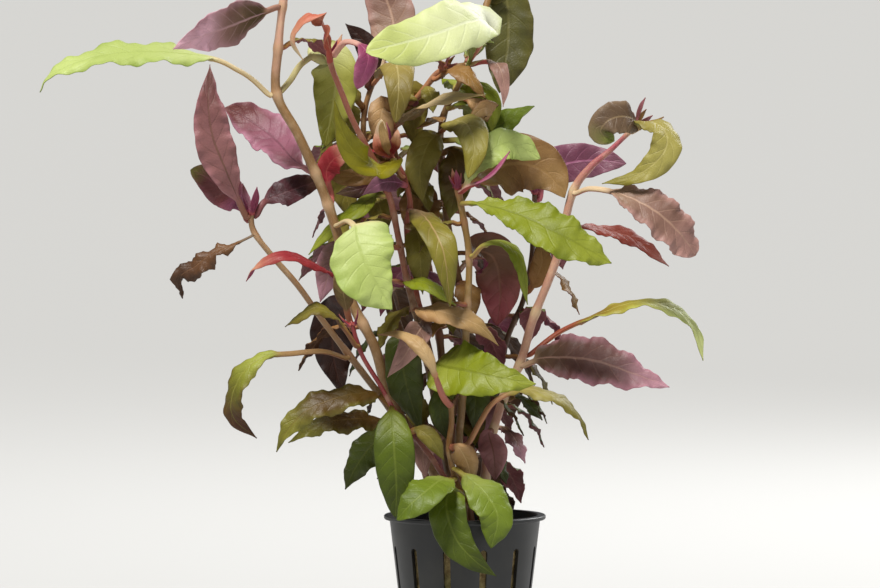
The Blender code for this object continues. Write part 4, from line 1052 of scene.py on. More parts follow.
def pucker_lift(half, amount, blade, right):
    """The blade's swelling between its side veins, in millimetres."""
    phase = (blade - VEIN_SWEEP * amount ** VEIN_BEND) * SIDE_VEINS + (VEIN_STAGGER if right else 0.0)
    pucker = PUCKER * math.sin(math.pi * (phase % 1.0)) * (1 - amount ** 3)
    return pucker * min(1.0, half / FULL_PUCKER_WIDTH)


print(f"a blade swells up to {PUCKER} mm between two veins")

# %% [markdown]
# ## One ring of points round a leaf
#
# A blade is about 0.3 mm thick, and its stalk is nearly round. A flat sheet made thicker by a modifier
# couldn't turn into a round stalk. So each row is a ring of points that goes out over the upper side
# and back along the under side: flat in the blade, round in the stalk, with the midrib standing out
# underneath.

# %% A leaf's ring
LEAF_ACROSS = 14
RING = 2 * LEAF_ACROSS
LEAN = 0.05
STALK_WIDTH = 1.7
STALK_FOOT = 1.15
STALK_TAPER = 0.3
STALK_DEPTH = 0.8
STALK_FADE = 7
LEAST_REACH = 0.12
RIB_DEPTH = 0.5
LEAST_RIB = 0.12
RIB_SPREAD = 0.55
BLADE_THICKNESS = 0.28
EDGE_THICKNESS = 0.2
RAG_SCALE = 9.0
RAG_OTHER_SIDE = 7.0
STALK_ON_MAP = 0.5


def leaf_ring(row, leaf, style, shift):
    """The points of one ring, in millimetres, and their places on the blade's map."""
    centre, side, up, blade = row
    grown = max(0.0, blade)
    skew = style.skew + LEAN * math.sin(shift)
    halves = [leaf.width / 2 * outline(blade, style.widest + lean, style.tip) for lean in (skew, -skew)]
    rags = [noise.noise(Vector((blade * RAG_SCALE, shift, level))) for level in (0.0, RAG_OTHER_SIDE)]
    stalk = STALK_WIDTH / 2 * style.stalk * (STALK_FOOT - STALK_TAPER * grown)
    stalk_part = max(0.0, 1 - grown * STALK_FADE)
    rib = RIB_DEPTH * max(LEAST_RIB, 1 - grown)
    points = []
    spots = []
    for step in range(RING):
        turn = 2 * math.pi * step / RING
        u = math.cos(turn)
        top = math.sin(turn)
        right = u > 0
        half = halves[0] if right else halves[1]
        ragged = 1 + style.ragged * (rags[0] if right else rags[1]) * 2
        out = u * max(half * ragged, stalk * (1 - grown) + LEAST_REACH)
        lift = edge_lift(style, half, abs(u), blade, right, shift)
        lift += pucker_lift(half, abs(u), blade, right)
        thick = BLADE_THICKNESS / 2 * (1 if abs(top) > 0.05 else EDGE_THICKNESS)
        round_stalk = stalk * STALK_DEPTH * math.sqrt(max(0.0, 1 - u * u))
        if blade > 0:
            thick = thick * (1 - stalk_part) + round_stalk * stalk_part
        else:
            thick = round_stalk
        if top >= 0:
            height = lift + thick
        else:
            swell = rib * math.exp(-(out / (RIB_SPREAD * rib + LEAST_REACH)) ** 2)
            height = lift - thick - swell * (blade > 0)
        points.append(centre + side * out + up * height)
        spots.append((0.5 + u / 2, blade if blade > 0 else blade * STALK_ON_MAP))
    return points, spots


print(RING, "points in a ring")

# %% [markdown]
# ## From rings to a closed skin
#
# Leaves, stems and wool fibres are all rings of points in a row. Filling each gap between two rings with
# faces and closing both ends gives a skin without holes, as a solid thing needs. Lofting with curves
# would do it too, but a mesh keeps every point where it was put and carries its own map.

# %% Rings to a mesh
def tube_faces(rows, sides, first=0):
    """The faces between rings of points, with a cap at each end."""
    faces = []
    for row in range(rows - 1):
        low = first + row * sides
        for step in range(sides):
            after = (step + 1) % sides
            faces.append((low + step, low + after, low + sides + after, low + sides + step))
    last = first + (rows - 1) * sides
    faces.append(tuple(reversed(range(first, first + sides))))
    faces.append(tuple(range(last, last + sides)))
    return faces


def add_map(mesh, name, spots):
    """A map that gives each point of a mesh its own two numbers."""
    layer = mesh.uv_layers.new(name=name)
    for loop in mesh.loops:
        layer.data[loop.index].uv = spots[loop.vertex_index]


def outward(mesh):
    """Turns a closed mesh's faces outwards."""
    shape = bmesh.new()
    shape.from_mesh(mesh)
    bmesh.ops.recalc_face_normals(shape, faces=shape.faces)
    shape.to_mesh(mesh)
    shape.free()


print("a tube of three rings with four sides has", len(tube_faces(3, 4)), "faces")

# %% [markdown]
# ## A finished leaf
#
# Every leaf is a separate piece on a real plant, so it is one object here. Its name sets where its waves
# start, so that no two leaves wave alike, and the same name always gives the same leaf; a fresh random
# number would change the plant with each run. Its two slots hold the skins of its upper and its under side.

# %% Leaf mesh
SEED_STEP = 0.37
SEEDS = 9973


def seed_of(name):
    """A number that a leaf's name always gives again."""
    return sum((index + 1) * ord(letter) for index, letter in enumerate(name)) % SEEDS


def leaf_mesh(name, route, leaf, style):
    """The mesh of one leaf, in metres, with its upper and its under side."""
    rows = leaf_rows(route, leaf)
    points = []
    spots = []
    for row in rows:
        ring, places = leaf_ring(row, leaf, style, seed_of(name) * SEED_STEP)
        points += [point * MM for point in ring]
        spots += places
    mesh = bpy.data.meshes.new(name)
    mesh.from_pydata(points, [], tube_faces(len(rows), RING))
    add_map(mesh, BLADE_MAP, spots)
    uppers = [step < LEAF_ACROSS for row in rows[1:] for step in range(RING)] + [False, True]
    for polygon, upper in zip(mesh.polygons, uppers):
        polygon.material_index = 0 if upper else 1
    return mesh


print("where the waves of", long_leaf.name, "start:", seed_of(f"{long_leaf.name}_fine"))


def new_object(name, data):
    obj = bpy.data.objects.new(name, data)
    bpy.context.scene.collection.objects.link(obj)
    return obj


def new_piece(name, mesh):
    """A mesh as a piece of the plant, on its one body."""
    piece = new_object(name, mesh)
    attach(piece, "root")
    return piece


def make_leaf(name, leaf, style, route):
    mesh = leaf_mesh(name, route, leaf, style)
    outward(mesh)
    mesh.shade_smooth()
    mesh.materials.append(UPPER_SKINS[style.upper])
    mesh.materials.append(LOWER_SKINS[style.lower])
    return new_piece(name, mesh)


# %% [markdown]
# ## Drawing the leaves
#
# The large leaves take the place of their solids, piece for piece. The small ones stand beside them. One
# object for all leaves would draw faster, but then no leaf could be hidden, moved or coloured alone.

# %% Large leaves
for leaf, style in LARGE_LEAVES:
    piece = make_leaf(f"{leaf.name}_fine", leaf, style, leaf_route(leaf))
    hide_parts(leaf.name)
print(len(LARGE_LEAVES), "large leaves drawn")

# %% Small leaves
for leaf, style in SMALL_LEAVES:
    make_leaf(leaf.name, leaf, style, leaf_route(leaf))
print(len(SMALL_LEAVES), "small leaves drawn")

# %% [markdown]
# ## Drawing the leaves that follow the rule
#
# A leaf that leaves its stem sideways holds itself up at first and sinks further out. A physics run could
# find that bend, at a cost for eighty leaves. A parabola has the same form: the rise grows with the
# length, and the droop grows with its square.

# %% Leaves that follow the rule
ARC_SHARES = (0.2, 0.4, 0.6, 0.8, 1.0)
ARC_SHORTENING = 0.12
ARC_PETIOLE = 0.16
ARC_WAVE = 0.8
ARC_WAVES = 3.0


def compass(angle, out, up=0.0):
    """An arrow at a compass angle in radians, leaning out and up by the given shares."""
    return (out * math.cos(angle), out * math.sin(angle), up)


def arc_route(arc):
    """The midrib of a leaf that rises off its stem and droops."""
    out = Vector(compass(math.radians(arc.angle), 1))
    start, away = stalk_start(arc.stem, arc.node_z, out)
    points = [start, start + away * STALK_REACH]
    for share in ARC_SHARES:
        rise = arc.length * (arc.rise * share - arc.droop * share * share)
        points.append(start + out * arc.length * share * (1 - ARC_SHORTENING * share) + Vector((0, 0, rise)))
    return points


def arc_leaf(name, arc):
    """The written form of such a leaf: its upper side turns outward towards the tip."""
    angle = math.radians(arc.angle)
    face = compass(angle, 0.35, 0.9)
    tip_face = compass(angle, 0.75, 0.5)
    return Leaf(name, arc.stem, arc.node_z, arc.width, ARC_PETIOLE, [], face, tip_face)


for index, arc in enumerate(ARCS):
    leaf = arc_leaf(f"arc_leaf_{index + 1}", arc)
    make_leaf(leaf.name, leaf, Style(arc.upper, arc.lower, ARC_WAVE, ARC_WAVES), arc_route(arc))
print(len(ARCS), "leaves drawn by the rule")

# %% [markdown]
# ## The stems' skin
#
# Low down the stems are tan to brown, higher up pinker, and darker red at each joint. A striped picture
# wrapped round would show a seam. So the skin asks two maps, how near a joint is and how high the place
# lies, and noise drawn out lengthwise makes the streaks.

# %% Stem looks
StemLook = namedtuple("StemLook", "low high joint slot turn slim", defaults=(0.5, 0.1))
# Colours low down, high up and at the joints, the slot, where the colour turns, and how much the tip slims.
STEM_LOOKS = {
    1: StemLook((138, 104, 62), (214, 168, 144), (196, 156, 118), "stem_tan", 0.81, 0.12),
    2: StemLook((122, 94, 60), (152, 118, 82), (170, 126, 88), "stem_tan"),
    3: StemLook((124, 72, 56), (146, 56, 56), (130, 52, 50), "stem_red"),
    4: StemLook((104, 76, 42), (162, 92, 72), (190, 150, 120), "stem_red"),
    5: StemLook((104, 78, 42), (144, 106, 62), (106, 72, 42), "stem_brown"),
    6: StemLook((116, 78, 44), (162, 86, 64), (132, 66, 52), "stem_red"),
    7: StemLook((112, 82, 46), (172, 120, 84), (140, 90, 66), "stem_brown"),
    8: StemLook((126, 96, 50), (142, 112, 58), (170, 120, 84), "stem_tan"),
    9: StemLook((106, 80, 44), (142, 108, 62), (104, 74, 44), "stem_brown"),
    10: StemLook((184, 136, 116), (160, 66, 84), (208, 184, 142), "stem_tan", 0.87, 0.35),
    11: StemLook((72, 52, 32), (94, 66, 42), (80, 56, 38), "stem_brown"),
    12: StemLook((126, 90, 38), (134, 94, 44), (160, 118, 66), "stem_tan"),
}
print(len(STEM_LOOKS), "stem looks")

# %% Stem skin
STEM_MAP = "stem"
JOINT_MAP = "joint"
STREAKS_ROUND = 26.0
STREAKS_ALONG = 60.0
MOTTLE_SCALE = 160.0
TURN_WANDER = 0.12
TURN_REACH = 0.06
JOINT_STRENGTH = 0.75
PALE_SPECKS = (225, 200, 160)
SOFTNESS = 0.15
SOFT_DEPTH = (0.0015, 0.0007, 0.0004)
STEM_RELIEF = (0.35, 0.0003)


def stem_streaks(n):
    """Noise drawn out along the stem."""
    u, v = n.uv(STEM_MAP)
    drawn_out = n.add("ShaderNodeCombineXYZ")
    n.link(n.math("MULTIPLY", u, STREAKS_ROUND), drawn_out.inputs["X"])
    n.link(n.math("MULTIPLY", v, STREAKS_ALONG), drawn_out.inputs["Y"])
    return n.noise(drawn_out.outputs["Vector"], 1.0, 4.0, 0.6)


def stem_skin(number, look):
    n = Nodes(f"stem_{number}_skin")
    near, share = n.uv(JOINT_MAP)
    streak = stem_streaks(n)
    mottle = n.noise(n.place(), MOTTLE_SCALE, 4.0)
    climb = n.math("ADD", share, n.math("MULTIPLY_ADD", mottle, TURN_WANDER, -TURN_WANDER / 2))
    turned_share = n.step(climb, look.turn - TURN_REACH, look.turn + TURN_REACH)
    colour = n.mix(turned_share, paint(*look.low), paint(*look.high))
    colour = n.mix(n.math("MULTIPLY", near, JOINT_STRENGTH), colour, paint(*look.joint))
    colour = n.mix(n.step(streak, 0.45, 0.7, 0.0, 0.35), colour, paint(*look.joint))
    colour = n.mix(n.step(mottle, 0.5, 0.75, 0.0, 0.3), colour, paint(*PALE_SPECKS))
    n.link(colour, n.shader.inputs["Base Color"])
    n.link(n.math("MULTIPLY_ADD", mottle, 0.25, 0.32), n.shader.inputs["Roughness"])
    n.shader.inputs["Subsurface Weight"].default_value = SOFTNESS
    n.shader.inputs["Subsurface Radius"].default_value = SOFT_DEPTH
    n.shader.inputs["Subsurface Scale"].default_value = 1.0
    n.bump(n.math("ADD", streak, n.math("MULTIPLY", mottle, 0.5)), *STEM_RELIEF)
    return n.material


print("light goes", [round(depth / MM, 1) for depth in SOFT_DEPTH], "mm into a stem in red, green and blue")

# %% [markdown]
# ## The stems
#
# A stem is a soft tube, a little ridged, that slims towards its tip and swells at every joint where
# leaves leave it. A curve with a round bevel would give the tube in one step, but no joints or ridges.
# So the stems are drawn with rings too, and each ring has its own radius. Low on a stem, where its
# leaves have dropped off, the bare joints still show.

# %% Joints of the stems
LOWEST_JOINT = 62.0
JOINT_SPACING = 21.0
LEAST_JOINT_SPACING = 8.0
CLEAR_OF_LEAVES = 10


def joint_heights(number):
    """Where leaves leave a stem, with the bare joints lower down."""
    heights = [leaf.node_z for leaf, style in LARGE_LEAVES + SMALL_LEAVES if leaf.stem == number]
    heights += [arc.node_z for arc in ARCS if arc.stem == number]
    lowest = min(heights) if heights else STEM_LINES[number][-1].z
    bare = LOWEST_JOINT
    while bare < lowest - CLEAR_OF_LEAVES:
        heights.append(bare)
        bare += JOINT_SPACING
    kept = []
    for height in sorted(heights):
        if not kept or height - kept[-1] > LEAST_JOINT_SPACING:
            kept.append(height)
    return kept


for number in STEMS:
    print(f"stem {number} has {len(joint_heights(number))} joints")

# %% Rings of a stem
STEM_SIDES = 14
STEM_STEP = 1.1
JOINT_SWELL = 0.2
JOINT_REACH = 1.7
FOOT_GIRTH = 1.06
TAPER = 0.2
SLIMMING = 12
WANDER = 0.06
WANDER_SCALE = 0.11
RIDGES = 5
RIDGE_HEIGHT = 0.03
RIDGE_TWIST = 3
TIP_ROUNDING = 1.2
LEAST_TIP = 0.05


def stem_girth(number, look, centre, share, climb, left):
    """A stem's radius at one ring, in millimetres, and how far the rounding of its end shrinks it."""
    wander = 1 + WANDER * noise.noise(centre * WANDER_SCALE + Vector((number, 0, 0)))
    top_share = min(1.0, max(0.0, (climb - look.turn) * SLIMMING))
    taper = FOOT_GIRTH - TAPER * share - look.slim * top_share
    end = math.sqrt(min(1.0, (left + LEAST_TIP) / TIP_ROUNDING))
    return STEMS[number].radius * taper * wander, end


def stem_rings(number, look):
    """All points of a stem, in metres, with their places on its two maps."""
    length = length_of(STEM_LINES[number])
    count = round(length / STEM_STEP)
    centres = smooth_route(stem_route(number), count)
    joints = joint_heights(number)
    points = []
    stem_spots = []
    joint_spots = []
    for index, centre in enumerate(centres):
        along = (centres[min(count - 1, index + 1)] - centres[max(0, index - 1)]).normalized()
        side = along.cross(Vector((0, 1, 0))).normalized()
        front = along.cross(side)
        near = max(math.exp(-((centre.z - z) / JOINT_REACH) ** 2) for z in joints)
        share = index / (count - 1)
        climb = (centre.z - POT_HEIGHT) / (centres[-1].z - POT_HEIGHT)
        girth, end = stem_girth(number, look, centre, share, climb, (count - 1 - index) * STEM_STEP)
        for turn in range(STEM_SIDES):
            angle = 2 * math.pi * turn / STEM_SIDES
            ridge = 1 + RIDGE_HEIGHT * math.cos(angle * RIDGES + RIDGE_TWIST * share)
            radius = girth * ridge * (1 + JOINT_SWELL * near) * end
            points.append((centre + (side * math.cos(angle) + front * math.sin(angle)) * radius) * MM)
            stem_spots.append((abs(2 * turn / STEM_SIDES - 1), share * length / 100))
            joint_spots.append((near, climb))
    return points, stem_spots, joint_spots


print(f"a joint is {JOINT_SWELL:.0%} thicker than its stem")


# %% Stems
def stem_mesh(number, look):
    points, stem_spots, joint_spots = stem_rings(number, look)
    mesh = bpy.data.meshes.new(f"stem_{number}_fine")
    mesh.from_pydata(points, [], tube_faces(len(points) // STEM_SIDES, STEM_SIDES))
    add_map(mesh, STEM_MAP, stem_spots)
    add_map(mesh, JOINT_MAP, joint_spots)
    outward(mesh)
    mesh.shade_smooth()
    return mesh


for number, look in STEM_LOOKS.items():
    mesh = stem_mesh(number, look)
    mesh.materials.append(stem_skin(number, look))
    piece = new_piece(f"stem_{number}_fine", mesh)
    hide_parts(f"stem_{number}")
print(len(STEM_LOOKS), "stems drawn")

# %% [markdown]
# ## Shoot tips
#
# The newest leaves stand in small pairs at the top of each stem, each pair turned a quarter round from
# the one below. They are narrow, folded and redder than the grown ones. One bud shape set on every stem
# would look stamped. The tips reuse the leaf skin with three points each, so each has its own size and
# colour.

# %% Shoot tips
TipLook = namedtuple("TipLook", "length pairs upper lower")
TIPS = {
    1: TipLook(12, 2, "pink_mauve", "magenta"),
    2: TipLook(10, 2, "pink_mauve", "magenta"),
    3: TipLook(5, 1, "crimson", "magenta"),
    4: TipLook(7, 2, "coral", "magenta"),
    5: TipLook(6, 1, "bronze", "rose"),
    6: TipLook(10, 2, "crimson", "magenta"),
    7: TipLook(6, 2, "bronze", "rose"),
    8: TipLook(7, 2, "crimson", "magenta"),
    9: TipLook(7, 2, "lime", "pale_green"),
    10: TipLook(9, 2, "bronze", "rose"),
    11: TipLook(8, 2, "purple", "magenta"),
    12: TipLook(5, 1, "bronze", "brown"),
}
SHRINK_PER_PAIR = 0.35
OUTER_LEAN = 0.55
LEAN_PER_PAIR = 0.2
TIP_SINK = 1.6
SINK_PER_PAIR = 0.6
BESIDE_TIP = 0.5
TIP_LEAF_WIDTH = 0.3
TIP_PETIOLE = 0.1
TIP_WAVE = 0.15
MIDDLE_UP = 0.55
MIDDLE_OUT = 0.75
END_UP = 0.95


def tip_leaf(name, number, look, pair, half):
    """One young leaf: it stands beside the tip and leans out."""
    line = STEM_LINES[number]
    along = (line[-1] - line[-3]).normalized()
    size = look.length * (1 - SHRINK_PER_PAIR * pair)
    turn = math.pi * half + math.pi / 2 * pair + number
    level = along.cross(Vector((0, 1, 0))).normalized()
    out = (level * math.cos(turn) + along.cross(level) * math.sin(turn)).normalized()
    lean = OUTER_LEAN - LEAN_PER_PAIR * pair
    start = line[-1] - along * (TIP_SINK - SINK_PER_PAIR * pair) + out * BESIDE_TIP
    middle = start + along * size * MIDDLE_UP + out * size * lean * MIDDLE_OUT
    end = start + along * size * END_UP + out * size * lean
    face = tuple(along * 0.7 - out * 0.6)
    leaf = Leaf(name, number, line[-1].z, size * TIP_LEAF_WIDTH, TIP_PETIOLE, [], face)
    style = Style(look.upper, look.lower, TIP_WAVE, 2.0, 0.02, 0.0)
    make_leaf(name, leaf, style, [start, middle, end])


young = 0
for number, look in TIPS.items():
    for pair in range(look.pairs):
        for half in range(2):
            tip_leaf(f"tip_{number}_leaf_{2 * pair + half + 1}", number, look, pair, half)
            young += 1
print(young, "young leaves on the tips of", len(TIPS), "stems")

# %% [markdown]
# ## Pot plastic
#
# A net pot is moulded in thin black plastic. It isn't quite black: it is matt, with a fine grain from the
# mould and a little pale dust. A picture of plastic would repeat round the wall, so two noises give the
# grain and the dust.

# %% Pot plastic
DUST_SCALE = 60.0
MOULD_GRAIN_SCALE = 2200.0
PLASTIC = (34, 35, 36)
PALE_DUST = (70, 68, 62)
POT_RELIEF = (0.2, 0.0001)


def pot_plastic():
    n = Nodes("pot_plastic_skin")
    place = n.place()
    dust = n.noise(place, DUST_SCALE, 4.0)
    grain = n.noise(place, MOULD_GRAIN_SCALE, 2.0)
    colour = n.mix(n.step(dust, 0.45, 0.75, 0.0, 0.3), paint(*PLASTIC), paint(*PALE_DUST))
    n.link(colour, n.shader.inputs["Base Color"])
    n.link(n.math("MULTIPLY_ADD", dust, 0.3, 0.3), n.shader.inputs["Roughness"])
    n.bump(grain, *POT_RELIEF)
    return n.material


print(f"dust in spots of about {1 / DUST_SCALE / MM:.0f} mm")

# %% [markdown]
# ## Turning the pot
#
# The pot is a tapered cup with a flat rim, and the mould leaves its edges slightly rounded. It could be a
# cylinder pulled into shape ring by ring. Turning one half section round the axis, as on a lathe, puts
# the wall, the rim and every rounding in one short list of points.

# %% Pot sizes and section
RIM_RADIUS = 27.0
RIM_THICKNESS = 1.4
MOUTH_RADIUS = 24.0
WALL_TOP_RADIUS = 25.1
FOOT_RADIUS = 19.4
POT_WALL = 1.1
POT_FLOOR = 1.2
FLOOR_FILLET = 0.8
MOUTH_ROUNDING = 0.5
MOUTH_WIDENING = 0.4
RIM_ROUNDING = 0.3
RIM_FILLET = 0.4
FOOT_ROUNDING = 0.6
FOOT_NARROWING = 0.5
TAPER_OVER_ROUNDING = 0.05
UNDER_RIM = POT_HEIGHT - RIM_THICKNESS
POT_SECTION = [
    # Radius and height, from the middle of the floor up the inside, over the rim and down the outside.
    (0.0, POT_FLOOR),
    (FOOT_RADIUS - POT_WALL - FLOOR_FILLET, POT_FLOOR),
    (FOOT_RADIUS - POT_WALL, POT_FLOOR + FLOOR_FILLET),
    (MOUTH_RADIUS - TAPER_OVER_ROUNDING, POT_HEIGHT - MOUTH_ROUNDING),
    (MOUTH_RADIUS + MOUTH_WIDENING, POT_HEIGHT),
    (RIM_RADIUS - RIM_ROUNDING, POT_HEIGHT),
    (RIM_RADIUS, POT_HEIGHT - RIM_ROUNDING),
    (RIM_RADIUS, UNDER_RIM + RIM_ROUNDING),
    (RIM_RADIUS - RIM_ROUNDING, UNDER_RIM),
    (WALL_TOP_RADIUS + RIM_FILLET, UNDER_RIM),
    (WALL_TOP_RADIUS, UNDER_RIM - RIM_FILLET),
    (FOOT_RADIUS + TAPER_OVER_ROUNDING, FOOT_ROUNDING),
    (FOOT_RADIUS - FOOT_NARROWING, 0.0),
    (0.0, 0.0),
]
print(f"pot: {2 * RIM_RADIUS} mm over the rim, {2 * FOOT_RADIUS} mm at the foot, {POT_HEIGHT} mm high")

# %% Turned shapes
POT_STEPS = 144
WELD = 0.00001


def turned(name, section, steps):
    """A section of (radius, height) pairs turned round the Z axis, as a mesh object."""
    mesh = bpy.data.meshes.new(name)
    vertices = [(radius * MM, 0.0, height * MM) for radius, height in section]
    mesh.from_pydata(vertices, [(index, index + 1) for index in range(len(section) - 1)], [])
    obj = new_object(name, mesh)
    screw = obj.modifiers.new("turn", "SCREW")
    screw.steps = steps
    screw.render_steps = steps
    screw.use_merge_vertices = True
    screw.merge_threshold = WELD
    return obj


def applied(obj):
    """The object's evaluated mesh in a new mesh, with the object removed."""
    graph = bpy.context.evaluated_depsgraph_get()
    mesh = bpy.data.meshes.new_from_object(obj.evaluated_get(graph))
    bpy.data.objects.remove(obj)
    return mesh


print("the pot is turned in", POT_STEPS, "steps")

# %% [markdown]
# ## Slots and holes
#
# Roots grow out through twelve upright slots with round ends and six round holes in the floor. In the
# real pot the mould leaves them open. They could be drawn into the wall by hand, but with so many edges
# that is slow. One mesh with all the openings, cut away from the pot at once, leaves clean edges.

# %% One opening after the other
SLOTS = 12
SLOT_WIDTH = 2.4
SLOT_BOTTOM = 6.0
SLOT_TOP = 40.0
SLOT_END_STEPS = 8
CUT_FROM = FOOT_RADIUS - 3.0
CUT_TO = RIM_RADIUS + 1.0
FLOOR_HOLES = 6
FLOOR_HOLE_RADIUS = 2.6
FLOOR_HOLE_RING = 12.0
FLOOR_HOLE_SIDES = 24


def slot_outline():
    """An upright slot with round ends, seen from outside, as (sideways, height) pairs."""
    half_width = SLOT_WIDTH / 2
    outline_points = []
    for half, height in ((0, SLOT_TOP - half_width), (1, SLOT_BOTTOM + half_width)):
        for step in range(SLOT_END_STEPS + 1):
            turn = math.pi * (half + step / SLOT_END_STEPS)
            outline_points.append((math.cos(turn) * half_width, height + math.sin(turn) * half_width))
    return outline_points


def add_slot(shape, angle):
    """A bar of the slot's outline that reaches through the wall."""
    rings = []
    for x in (CUT_FROM, CUT_TO):
        ring = []
        for y, z in slot_outline():
            spot = Vector((x * math.cos(angle) - y * math.sin(angle),
                           x * math.sin(angle) + y * math.cos(angle), z)) * MM
            ring.append(shape.verts.new(spot))
        rings.append(ring)
    inner, outer = rings
    shape.faces.new(inner)
    shape.faces.new(outer)
    for step in range(len(inner)):
        after = (step + 1) % len(inner)
        shape.faces.new((inner[step], inner[after], outer[after], outer[step]))


def add_floor_hole(shape, angle):
    """A round peg that reaches through the floor."""
    radius = FLOOR_HOLE_RADIUS * MM
    peg = bmesh.ops.create_cone(shape, cap_ends=True, segments=FLOOR_HOLE_SIDES, radius1=radius,
                                radius2=radius, depth=POT_FLOOR * 4 * MM)["verts"]
    place = Vector((math.cos(angle), math.sin(angle), 0)) * FLOOR_HOLE_RING * MM
    for vertex in peg:
        vertex.co += place


print(SLOTS, "slots,", SLOT_WIDTH, "mm wide, and", FLOOR_HOLES, "floor holes")


# %% All openings as one mesh
def slot_cutter():
    shape = bmesh.new()
    for index in range(SLOTS):
        add_slot(shape, 2 * math.pi * (index + 0.5) / SLOTS)
    for index in range(FLOOR_HOLES):
        add_floor_hole(shape, 2 * math.pi * index / FLOOR_HOLES)
    bmesh.ops.recalc_face_normals(shape, faces=shape.faces)
    mesh = bpy.data.meshes.new("slot_cutter")
    shape.to_mesh(mesh)
    shape.free()
    return new_object("slot_cutter", mesh)


print("each slot's outline has", len(slot_outline()), "points")

# %% Net pot
SHARP_EDGE = math.radians(35)


def net_pot():
    pot = turned("pot_blank", POT_SECTION, POT_STEPS)
    cutter = slot_cutter()
    boolean = pot.modifiers.new("slots", "BOOLEAN")
    boolean.operation = "DIFFERENCE"
    boolean.solver = "EXACT"
    boolean.object = cutter
    mesh = applied(pot)
    bpy.data.objects.remove(cutter)
    mesh.name = "net_pot_fine"
    mesh.materials.clear()
    mesh.materials.append(pot_plastic())
    mesh.shade_smooth()
    mesh.set_sharp_from_angle(angle=SHARP_EDGE)
    return new_piece("net_pot_fine", mesh)


pot = net_pot()
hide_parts("net_pot")
print("the pot has", len(pot.data.polygons), "faces")

# %% [markdown]
# ## The wool's skin
#
# Mineral wool is matted and uneven, yellow-brown, with green where algae have settled. Real wool is all
# fibres, but a million hairs would show no more than this from any distance where the plant is looked
# at: a fine, rough noise for the fibres, a broad one for the stains, and a strong bump.

# %% Wool skin
MATTED_SCALE = 420.0
STAIN_SCALE = 70.0
WOOL_DARK = (116, 94, 58)
WOOL_LIGHT = (196, 174, 122)
ALGAE = (92, 98, 48)
WOOL_RELIEF = (0.9, 0.0008)


def wool_skin():
    n = Nodes("mineral_wool_skin")
    place = n.place()
    matted = n.noise(place, MATTED_SCALE, 6.0, 0.7)
    stains = n.noise(place, STAIN_SCALE, 3.0)
    colour = n.mix(n.step(matted, 0.3, 0.7), paint(*WOOL_DARK), paint(*WOOL_LIGHT))
    colour = n.mix(n.step(stains, 0.48, 0.7, 0.0, 0.6), colour, paint(*ALGAE))
    n.link(colour, n.shader.inputs["Base Color"])
    n.shader.inputs["Roughness"].default_value = 0.95
    n.bump(matted, *WOOL_RELIEF)
    return n.material


wool = wool_skin()
print(f"algae in spots of about {1 / STAIN_SCALE / MM:.0f} mm")

# %% [markdown]
# ## The wool plug
#
# A strip of wool is wrapped round the feet of the stems and pushed into the pot, where it takes the pot's
# taper. It could be a plain ring with a bumpy skin, but then its outline at the top would look cut with
# a knife. So its section is turned like the pot's and each point is pushed out or in a little.

# %% Wool section
WOOL_TOP = 46.0
WELL_RADIUS = 11.4
WELL_SWELL = 1.2
WOOL_ROUGHNESS = 0.55
WOOL_STEPS = 150
LUMP_SCALE = 0.45
WELL_ROWS = 16
TOP_ROWS = 9
SIDE_ROWS = 24
GAP = 0.35
WOOL_BOTTOM = POT_FLOOR + GAP
WOOL_SHRINK = GAP * 1.5 + WOOL_ROUGHNESS * 0.6
WOOL_SHOULDER = 1.6
WELL_LIP = (0.6, 0.7)
TOP_DIP = 0.2
TOP_FROM_WELL = 1.6
TOP_SHORTER = 3.0


def pot_inner_radius(height):
    share = (height - POT_FLOOR) / (POT_HEIGHT - POT_FLOOR)
    return FOOT_RADIUS - POT_WALL + share * (MOUTH_RADIUS - FOOT_RADIUS + POT_WALL)


def wool_section():
    """Radius and height up the well, over the top and down beside the pot's wall, closed to a loop."""
    well = WELL_RADIUS - WELL_SWELL
    outer = pot_inner_radius(WOOL_TOP) - WOOL_SHRINK
    section = []
    for step in range(WELL_ROWS):
        section.append((well, WOOL_BOTTOM + (WOOL_TOP - 2 - WOOL_BOTTOM) * step / (WELL_ROWS - 1)))
    section.append((well + WELL_LIP[0], WOOL_TOP - WELL_LIP[1]))
    for step in range(TOP_ROWS):
        radius = well + TOP_FROM_WELL + (outer - well - TOP_SHORTER) * step / (TOP_ROWS - 1)
        section.append((radius, WOOL_TOP - TOP_DIP))
    for step in range(SIDE_ROWS):
        down = (WOOL_BOTTOM - WOOL_TOP + WOOL_SHOULDER) * step / (SIDE_ROWS - 1)
        height = WOOL_TOP - WOOL_SHOULDER + down
        section.append((pot_inner_radius(height) - WOOL_SHRINK, height))
    section.append(section[0])
    return section


print("the wool's section has", len(wool_section()) - 1, "points")


# %% Wool plug
def roughen(mesh):
    """Welds a turned mesh and pushes its points along their normals by a lumpy noise."""
    shape = bmesh.new()
    shape.from_mesh(mesh)
    bmesh.ops.remove_doubles(shape, verts=shape.verts, dist=WELD)
    bmesh.ops.recalc_face_normals(shape, faces=shape.faces)
    shape.normal_update()
    for vertex in shape.verts:
        spot = vertex.co / MM
        rise = noise.fractal(spot * LUMP_SCALE, 1.0, 2.0, 4)
        vertex.co += vertex.normal * rise * WOOL_ROUGHNESS * MM
    shape.to_mesh(mesh)
    shape.free()


def wool_plug():
    mesh = applied(turned("wool_blank", wool_section(), WOOL_STEPS))
    roughen(mesh)
    mesh.name = "wool_plug_fine"
    mesh.shade_smooth()
    mesh.materials.append(wool)
    return new_piece("wool_plug_fine", mesh)


plug = wool_plug()
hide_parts("wool_plug")
print("the wool plug has", len(plug.data.vertices), "points")

# %% [markdown]
# ## Loose fibres
#
# Short fibres stand out of the wool's top and make it look like wool at its rim. Blender's hair would
# grow them, but here every piece has to be a plain mesh. Thin three-sided hairs are enough at their size,
# and a fixed start for the random numbers gives the same fibres each time.

